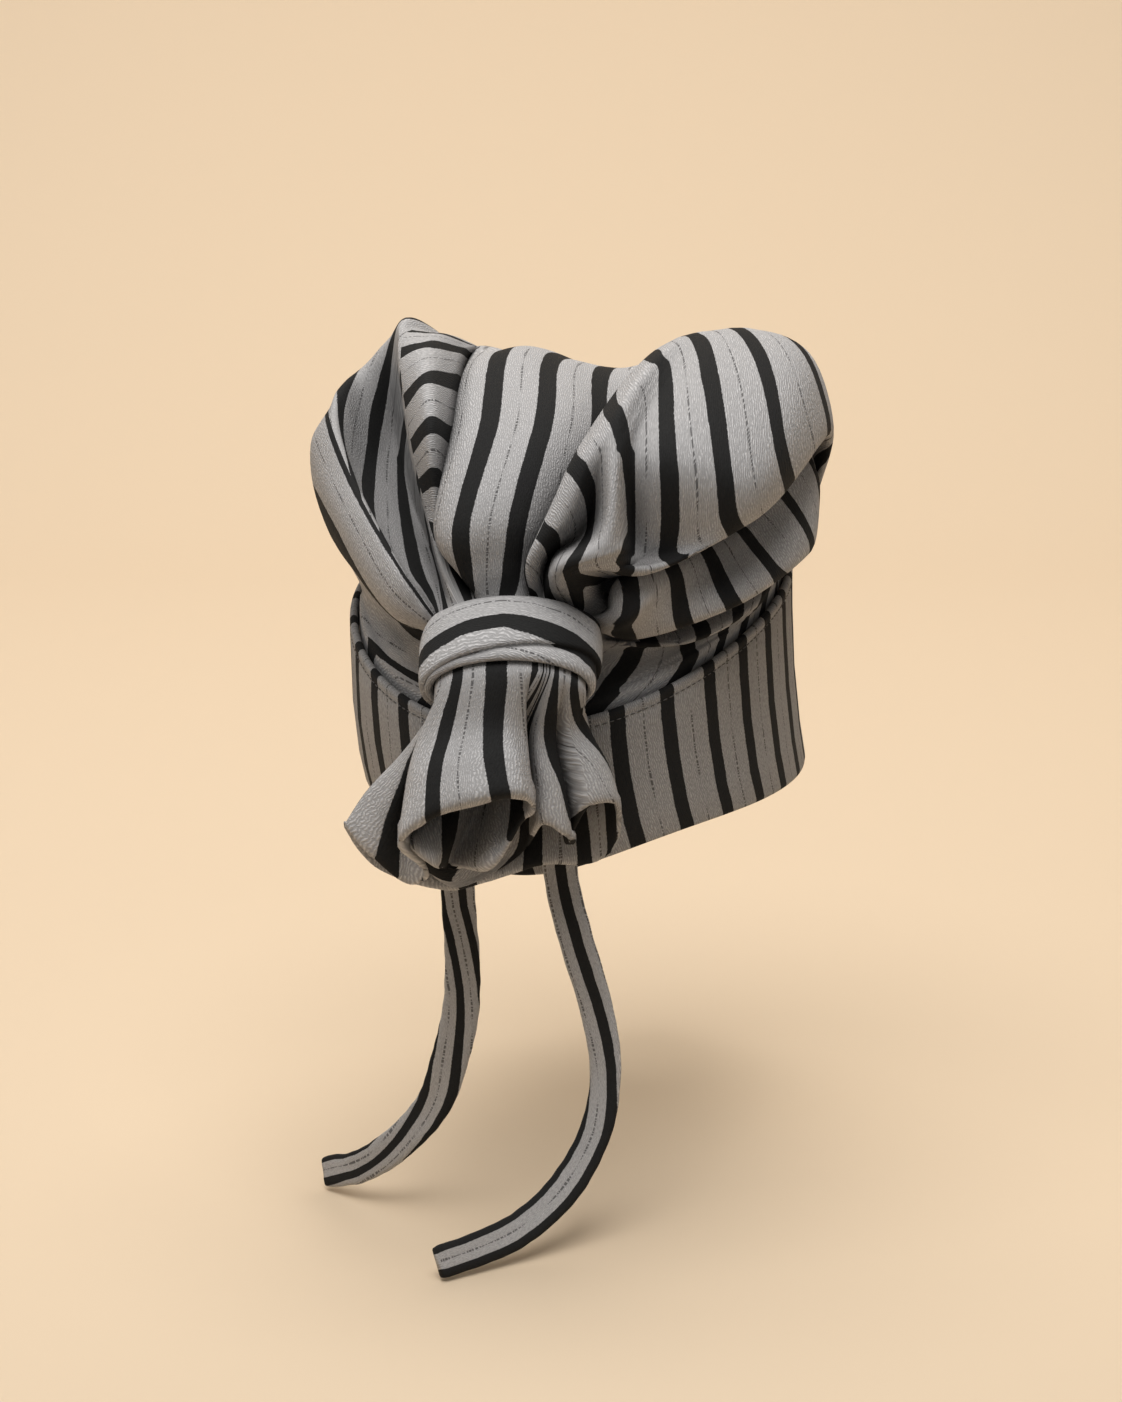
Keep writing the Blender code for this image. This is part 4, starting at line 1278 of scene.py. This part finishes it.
def crown_grid(stripes):
    """The crown's mid surface with its stripe numbers as a grid: round the knot, knot to hem."""
    rows = np.array([crown_line(row) for row in CROWN_FOLDS] + [low_line(row) for row in LOW_FOLDS])
    rows = np.concatenate([rows, stripes[..., None]], axis=2)
    lines = np.array([smooth_line(*full_line(name, row)) for name, row in zip(LINE_NAMES, rows)])
    grid = smooth_line(lines, CROWN_BETWEEN, closed=True)
    throats = [row[1] for row in CROWN_FOLDS + LOW_FOLDS]
    hems = [row[-1] for row in CROWN_FOLDS] + [row[2] for row in LOW_FOLDS]
    throats = np.degrees(np.unwrap(np.radians(throats + throats[:1])))
    hems = np.unwrap(np.radians(hems + hems[:1]))
    place = np.arange(len(grid)) / CROWN_BETWEEN
    throat_at = np.interp(place, np.arange(len(throats)), throats)
    hem_at = np.interp(place, np.arange(len(hems)), hems)
    first = CROWN_SPANS[0]
    # Inside the knot and inside the band the sheet follows their walls exactly
    for k in range(first + 1):
        deep = (grid[:, k, :3] - KNOT_CENTRE) @ RING_AXIS
        grid[:, k, :3] = on_ring(throat_at, deep, -SEAT)
    last = CROWN_SPANS[-1]
    for k in range(last + 1):
        height = HEM_LIP + (-HEM_TUCK - HEM_LIP) * k / last
        grid[:, k - last - 1, :3] = hem(hem_at, height)
    grid[..., :3] = turned(grid[..., :3])
    return grid


plain_lines = np.array([crown_line(row) for row in CROWN_FOLDS] + [low_line(row) for row in LOW_FOLDS])
runs = [run_stripes(kind, run, plain_lines) for kind, run in STRIPE_RUNS]
grids = [crown_grid(full) for _, _, full in runs]
crown_points = grids[0][..., :3]
print("crown grid", crown_points.shape)

# %% [markdown]
# ### Creases
#
# Cloth that comes out of a tight knot is never smooth: fine creases run out of the throat and
# fade. They are added as a small move along the normal, from a noise that is stretched
# along the fold lines, strongest near the knot and gone at the band.

# %% Creases and the crown's mesh


def creases(points, closed, strength, around_scale, along_scale, seed, fade):
    """Small moves along the normal, stretched along the second axis of the grid."""
    around, deep = points.shape[:2]
    step = np.linalg.norm(np.diff(points, axis=1), axis=2).mean(axis=0)
    run = np.concatenate([[0.0], np.cumsum(step)])
    moves = np.zeros((around, deep))
    for i in range(around):
        a = 2 * math.pi * i / around
        x, y = math.cos(a) * around_scale, math.sin(a) * around_scale
        for k in range(deep):
            z = run[k] * along_scale
            value = noise.noise((x, y, z + seed)) + 0.5 * noise.noise((x * 2.1, y * 2.1, z * 1.7 + seed + 9))
            moves[i, k] = value * strength * fade[k]
    return points + normals_of(points, closed) * moves[..., None]


deep = crown_points.shape[1]
share_down = np.linspace(0, 1, deep)
crease_start = np.clip((share_down - 0.06) / 0.08, 0, 1)
crease_end = np.clip((0.93 - share_down) / 0.1, 0, 1)
crease_fade = crease_start * (0.35 + 0.65 * np.exp(-share_down * 4)) * crease_end
crown_points = creases(
    crown_points, True, strength=0.0011, around_scale=7.0, along_scale=22.0, seed=3.0, fade=crease_fade
)


def build_crown():
    around, deep = crown_points.shape[:2]
    faces = []
    across, along, gauge = [], [], []
    for (kind, _), (first, spans, _), grid in zip(STRIPE_RUNS, runs, grids):
        rows = [(first * CROWN_BETWEEN + i) % around for i in range(spans * CROWN_BETWEEN + 1)]
        part = crown_points[rows]
        stripes = grid[rows, :, 3]
        metres = gauge_of(part, stripes, False)
        down = length_along(part, 1)
        over = length_along(part, 0)
        length = down if kind == "along" else over
        for i in range(len(rows) - 1):
            a, b = rows[i], rows[i + 1]
            for k in range(deep - 1):
                faces.append((a * deep + k, b * deep + k, b * deep + k + 1, a * deep + k + 1))
                for r, s in ((i, k), (i + 1, k), (i + 1, k + 1), (i, k + 1)):
                    across.append(stripes[r, s])
                    along.append(length[r, s])
                    gauge.append(metres[r, s])
    mesh = mesh_from("crown_drape", crown_points, faces)
    set_maps(mesh, np.array(across), np.array(along), np.array(gauge))
    mesh.materials.append(crown_cloth)
    piece = new_object("crown_drape", mesh)
    give_wall(piece)
    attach(piece, "root")
    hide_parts("crown")
    print("crown", len(faces), "faces,", round(sheet_area(crown_points, True), 4), "m2 of cloth")
    return piece


crown = build_crown()

# %% [markdown]
# ## The knot's ring
#
# A strip of the same cloth is wound round the gathered cloth and tucked in behind. Its front
# shows two layers, the upper one turned under at its edge, with a stripe along the middle.
# The ring is a section of the wound strip swept round a flat oval, and the step between the
# layers travels along the section as the strip winds on.

# %% Ring section and sweep
RING_STEPS = 240
RING_RADIUS = 0.021
# name, share of the ring's length, share of its wall
RING_SECTION = (
    ("inner_back", -0.47, 0.0),
    ("back_edge_in", -0.50, 0.18),
    ("back_edge", -0.51, 0.45),
    ("back_round", -0.475, 0.80),
    ("back_shoulder", -0.40, 0.98),
    ("layer_high", -0.27, 1.05),
    ("main_back", -0.15, 1.06),
    ("main_middle", 0.00, 1.06),
    ("main_front", 0.12, 1.03),
    ("main_lip_high", 0.22, 0.97),
    ("main_lip", 0.26, 0.85),
    ("main_lip_under", 0.25, 0.66),
    ("step", 0.27, 0.55),
    ("second_high", 0.36, 0.62),
    ("front_round", 0.45, 0.55),
    ("front_edge", 0.50, 0.28),
    ("inner_front", 0.47, 0.0),
    ("inner_mid", 0.0, 0.0),
)


def ring_grid(steps):
    degrees = np.arange(steps) * 360 / steps
    lean = 0.10 * np.cos(np.radians(degrees - 20))
    # The turned edge runs out to the ring's lower edge on the left
    left = 0.5 + 0.5 * np.cos(np.radians(degrees - 175))
    sections = []
    for label, along, lift in RING_SECTION:
        place = np.full(steps, along)
        height = np.full(steps, lift)
        if label.startswith("main_lip") or label == "step":
            place = along + (0.17 - 0.35 * max(0.0, along - 0.25)) * left
        if label in ("step", "second_high", "front_round"):
            place = np.maximum(place, along + 0.03 * left)
        middle = 1 - (2 * np.minimum(np.abs(place), 0.5)) ** 4
        spots = [(math.cos(a) * 3, math.sin(a) * 3, along * 5) for a in np.radians(degrees)]
        ripple = np.array([noise.noise(spot) for spot in spots])
        if lift > 0.5:
            height = height + ripple * 0.10
        shift = (place - lean * middle * (lift > 0)) * RING_LENGTH
        sections.append(on_ring(degrees, shift, height * RING_WALL))
    return turned(np.array(sections).transpose(1, 0, 2)), degrees


def build_ring():
    sections, degrees = ring_grid(RING_STEPS)
    around, deep = sections.shape[:2]
    faces = tube_faces(around, deep)
    mesh = mesh_from("knot_wrap", sections, faces)
    corner = np.array(faces)
    row = corner // deep
    spot = corner % deep
    share = np.array([r[1] for r in RING_SECTION])[spot]
    angle = degrees[row]
    # Stripes run round the ring and slip toward its front edge on the right
    folded = (angle + 90) % 360 - 90
    slip = np.interp(folded, (-90, 0, 30, 60, 95, 180, 270), (0.55, 0.45, 0.40, 0.22, 0.0, 0.06, 0.55))
    stripe = share * RING_LENGTH / STRIPE_PITCH - slip
    length = np.radians(np.where(past_seam(corner, deep, around), angle + 360, angle)) * RING_RADIUS
    set_maps(mesh, stripe.ravel(), length.ravel(), np.full(stripe.size, STRIPE_PITCH))
    mesh.materials.append(crown_cloth)
    piece = new_object("knot_wrap", mesh)
    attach(piece, "root")
    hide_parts("knot_ring")
    print("ring", len(mesh.polygons), "faces")
    return piece


ring = build_ring()

# %% [markdown]
# ## The knot's tail
#
# Below the ring the gathered cloth opens again into a short flared tail: a flap on the left,
# one broad roll in front whose lower edge curls in and leaves a hollow, and narrow
# pleats on the right. It is laid in the same way as the crown, one line for each pleat.

# %% Pleats of the tail
# mid, low and tip are (across, toward, down) in shares of the tail's sizes from the
# knot's centre; then how far the tip rolls inward, the stripe number at the knot, and how
# much that number falls on the way to the tip, where stripes cross the pleats.
TAIL_PLEATS = (
    ("back_left", 216, (-0.56, 0.00, 0.50), (-0.84, -0.06, 0.80), (-0.93, -0.08, 0.96), 0.0, -1.9, 0.0),
    ("flap_edge", 198, (-0.73, 0.17, 0.42), (-0.98, 0.15, 0.61), (-1.12, 0.12, 0.75), 0.03, -1.5, 0.0),
    ("flap_face", 186, (-0.66, 0.28, 0.43), (-0.84, 0.30, 0.69), (-0.92, 0.30, 0.87), 0.05, -1.1, 0.0),
    ("flap_inner", 176, (-0.57, 0.16, 0.46), (-0.70, 0.18, 0.77), (-0.69, 0.20, 1.01), 0.03, -0.8, 0.0),
    ("tuck_left", 168, (-0.54, 0.24, 0.44), (-0.58, 0.32, 0.72), (-0.57, 0.36, 0.93), 0.0, -0.6, 0.0),
    ("roll_left", 158, (-0.62, 0.42, 0.35), (-0.69, 0.62, 0.55), (-0.73, 0.82, 0.72), 0.14, -0.52, 0.0),
    ("roll_a", 138, (-0.47, 0.58, 0.28), (-0.54, 0.80, 0.44), (-0.56, 0.96, 0.60), 0.26, -0.15, 0.0),
    ("roll_b", 112, (-0.22, 0.65, 0.24), (-0.25, 0.88, 0.38), (-0.22, 1.03, 0.505), 0.28, 0.76, 0.0),
    ("roll_c", 90, (-0.02, 0.62, 0.24), (0.02, 0.83, 0.37), (0.06, 0.96, 0.485), 0.24, 1.22, 0.0),
    ("roll_right", 80, (0.10, 0.48, 0.30), (0.13, 0.62, 0.46), (0.155, 0.72, 0.59), 0.1, 1.58, 0.0),
    ("inner_right", 76, (0.06, 0.35, 0.34), (0.11, 0.48, 0.52), (0.07, 0.70, 0.65), 0.1, 1.66, -0.3),
    ("inner_mid", 73, (0.00, 0.26, 0.36), (-0.04, 0.38, 0.59), (-0.12, 0.76, 0.835), 0.2, 1.78, -0.7),
    ("inner_split", 70, (-0.10, 0.17, 0.38), (-0.20, 0.13, 0.62), (-0.42, 0.30, 0.90), 0.0, 1.92, -1.1),
    ("inner_left", 68, (-0.16, 0.20, 0.39), (-0.38, 0.34, 0.60), (-0.50, 0.74, 0.84), 0.16, 2.10, -1.4),
    ("inner_far", 66, (-0.22, 0.18, 0.42), (-0.56, 0.32, 0.62), (-0.66, 0.64, 0.76), 0.08, 2.30, -1.6),
    ("inner_back", 63, (-0.05, 0.14, 0.42), (-0.24, 0.13, 0.71), (-0.38, 0.22, 1.00), 0.0, 3.0, -1.5),
    ("tuck_right", 60, (0.07, 0.17, 0.38), (0.07, 0.16, 0.60), (0.06, 0.17, 0.86), 0.0, 4.4, -0.6),
    ("pleat_a", 55, (0.18, 0.40, 0.31), (0.21, 0.48, 0.51), (0.23, 0.54, 0.67), 0.06, 5.75, 0.3),
    ("pleat_b", 48, (0.29, 0.37, 0.31), (0.36, 0.46, 0.53), (0.41, 0.51, 0.76), 0.06, 6.3, 0.6),
    ("tuck_far", 40, (0.25, 0.16, 0.36), (0.32, 0.16, 0.58), (0.38, 0.16, 0.80), 0.0, 6.7, 0.85),
    ("pleat_c", 32, (0.40, 0.32, 0.28), (0.48, 0.41, 0.44), (0.53, 0.48, 0.60), 0.08, 7, 1.05),
    ("pleat_d", 18, (0.50, 0.22, 0.27), (0.64, 0.30, 0.44), (0.71, 0.36, 0.61), 0.08, 7.5, 1.15),
    ("right_edge", -4, (0.50, 0.08, 0.36), (0.64, 0.10, 0.60), (0.69, 0.10, 0.85), 0.0, 7.9, 1.15),
    ("back_right", -32, (0.36, 0.00, 0.47), (0.46, 0.00, 0.72), (0.53, 0.04, 0.93), 0.03, 8.5, 0.7),
    ("back_a", -64, (0.12, -0.05, 0.50), (0.18, -0.04, 0.75), (0.20, 0.08, 0.94), 0.05, 9.1, 0.3),
    ("back_b", -94, (-0.10, -0.06, 0.51), (-0.12, -0.05, 0.78), (-0.14, 0.14, 1.00), 0.06, 9.7, 0.0),
    ("back_c", -122, (-0.34, -0.06, 0.52), (-0.42, -0.06, 0.80), (-0.46, 0.08, 1.05), 0.03, 10.3, 0.0),
)
TAIL_SPANS = (2, 12, 12, 8, 4, 4)
TAIL_BETWEEN = 8
TAIL_REPEATS = 12.8


def tail_line(row):
    _, throat, mid, low, tip, turn, _, _ = row
    mid, low, tip = (KNOT_CENTRE + np.array(share) * TAIL_SIZE for share in (mid, low, tip))
    inside = on_ring(throat, THROAT_INSET, -SEAT)
    mouth = on_ring(throat, RING_LENGTH / 2 + THROAT_INSET, -SEAT)
    under = tip + np.array([0.0, -0.7 * turn, 0.12 * turn]) * TAIL_SIZE
    curl = tip + np.array([0.0, -1.1 * turn, -0.35 * turn]) * TAIL_SIZE
    if turn == 0.0:
        under = tip + (tip - low) * 0.05
        curl = tip + (tip - low) * 0.10
    return np.array([inside, mouth, mid, low, tip, under, curl])


def tail_grid():
    rows = np.array([tail_line(row) for row in TAIL_PLEATS])
    lines = np.array([smooth_line(row, TAIL_SPANS) for row in rows])
    grid = smooth_line(lines, TAIL_BETWEEN, closed=True)
    throats = [row[1] for row in TAIL_PLEATS]
    throats = np.degrees(np.unwrap(np.radians(throats + throats[:1])))
    throat_at = np.interp(np.arange(len(grid)) / TAIL_BETWEEN, np.arange(len(throats)), throats)
    for k in range(TAIL_SPANS[0] + 1):
        deep = (grid[:, k] - KNOT_CENTRE) @ RING_AXIS
        grid[:, k] = on_ring(throat_at, deep, -SEAT)
    return turned(grid)


def build_tail():
    points = tail_grid()
    around, deep = points.shape[:2]
    fade = np.clip((np.linspace(0, 1, deep) - 0.1) / 0.15, 0, 1)
    points = creases(
        points, True, strength=0.0008, around_scale=5.0, along_scale=30.0, seed=21.0, fade=fade
    )
    numbers = np.array([row[-2] for row in TAIL_PLEATS] + [TAIL_PLEATS[0][-2] + TAIL_REPEATS])
    slants = np.array([row[-1] for row in TAIL_PLEATS] + [TAIL_PLEATS[0][-1]])
    place = np.arange(around + 1) / TAIL_BETWEEN
    at_knot = np.interp(place, np.arange(len(numbers)), numbers)
    falling = np.interp(place, np.arange(len(slants)), slants)
    stripe = at_knot[:, None] - falling[:, None] * np.linspace(0, 1, deep)
    closed_points = np.concatenate([points, points[:1]])
    metres = gauge_of(closed_points, stripe, False)
    run = length_along(closed_points, 1)
    faces = []
    maps = []
    for i in range(around):
        j = (i + 1) % around
        for k in range(deep - 1):
            faces.append((i * deep + k, j * deep + k, j * deep + k + 1, i * deep + k + 1))
            for r, s in ((i, k), (i + 1, k), (i + 1, k + 1), (i, k + 1)):
                maps.append((stripe[r, s], run[r, s], metres[r, s]))
    mesh = mesh_from("knot_fan", points, faces)
    maps = np.array(maps)
    set_maps(mesh, maps[:, 0], maps[:, 1], maps[:, 2])
    mesh.materials.append(crown_cloth)
    piece = new_object("knot_fan", mesh)
    give_wall(piece)
    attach(piece, "root")
    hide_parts("knot_tail")
    print("tail", len(faces), "faces,", round(sheet_area(points, True), 4), "m2 of cloth")
    return piece


tail = build_tail()

# %% [markdown]
# ## How open each fold is
#
# Cloth deep in a fold gets less light and looks darker. The renderer works out most of that,
# and a little painted shade in the deepest folds does the rest. It belongs to this one drape,
# so it is worked out again whenever the folds change. For
# each point of the finished pieces, rays go out on the open side in fixed directions, and the
# share that meets no cloth nearby is kept in the "gauge" map's second value.

# %% Openness of the folds
OPEN_REACH = 0.045
OPEN_RAYS = 36
OPEN_START = 0.0005
OPEN_GRAZING = 0.1


def even_directions(count):
    """Directions spread evenly over a sphere, on a golden spiral."""
    turn = math.pi * (3 - math.sqrt(5))
    heights = [1 - 2 * (i + 0.5) / count for i in range(count)]
    directions = []
    for i, height in enumerate(heights):
        reach = math.sqrt(1 - height * height)
        directions.append(Vector((reach * math.cos(turn * i), reach * math.sin(turn * i), height)))
    return directions


def store_openness(pieces):
    """Keeps, for each corner, the share of rays that leave the cloth without meeting any."""
    points, faces = [], []
    for piece in pieces:
        start = len(points)
        points += [v.co.copy() for v in piece.data.vertices]
        faces += [[start + i for i in face.vertices] for face in piece.data.polygons]
    tree = BVHTree.FromPolygons(points, faces)
    directions = even_directions(OPEN_RAYS)
    for piece in pieces:
        mesh = piece.data
        opened = np.ones(len(mesh.vertices))
        for i, vertex in enumerate(mesh.vertices):
            normal = vertex.normal
            start = vertex.co + normal * OPEN_START
            seen = 0.0
            total = 0.0
            for way in directions:
                facing = normal.dot(way)
                if facing > OPEN_GRAZING:
                    total += facing
                    if tree.ray_cast(start, way, OPEN_REACH)[0] is None:
                        seen += facing
            opened[i] = seen / total
        corner = np.zeros(len(mesh.loops), np.int64)
        mesh.loops.foreach_get("vertex_index", corner)
        layer = mesh.uv_layers["gauge"].data
        uv = np.zeros(2 * len(layer), np.float32)
        layer.foreach_get("uv", uv)
        uv[1::2] = opened[corner]
        layer.foreach_set("uv", uv)
        print(piece.name, "openness", round(float(opened.min()), 2), "to", round(float(opened.max()), 2))


store_openness([crown, tail, ring, band])
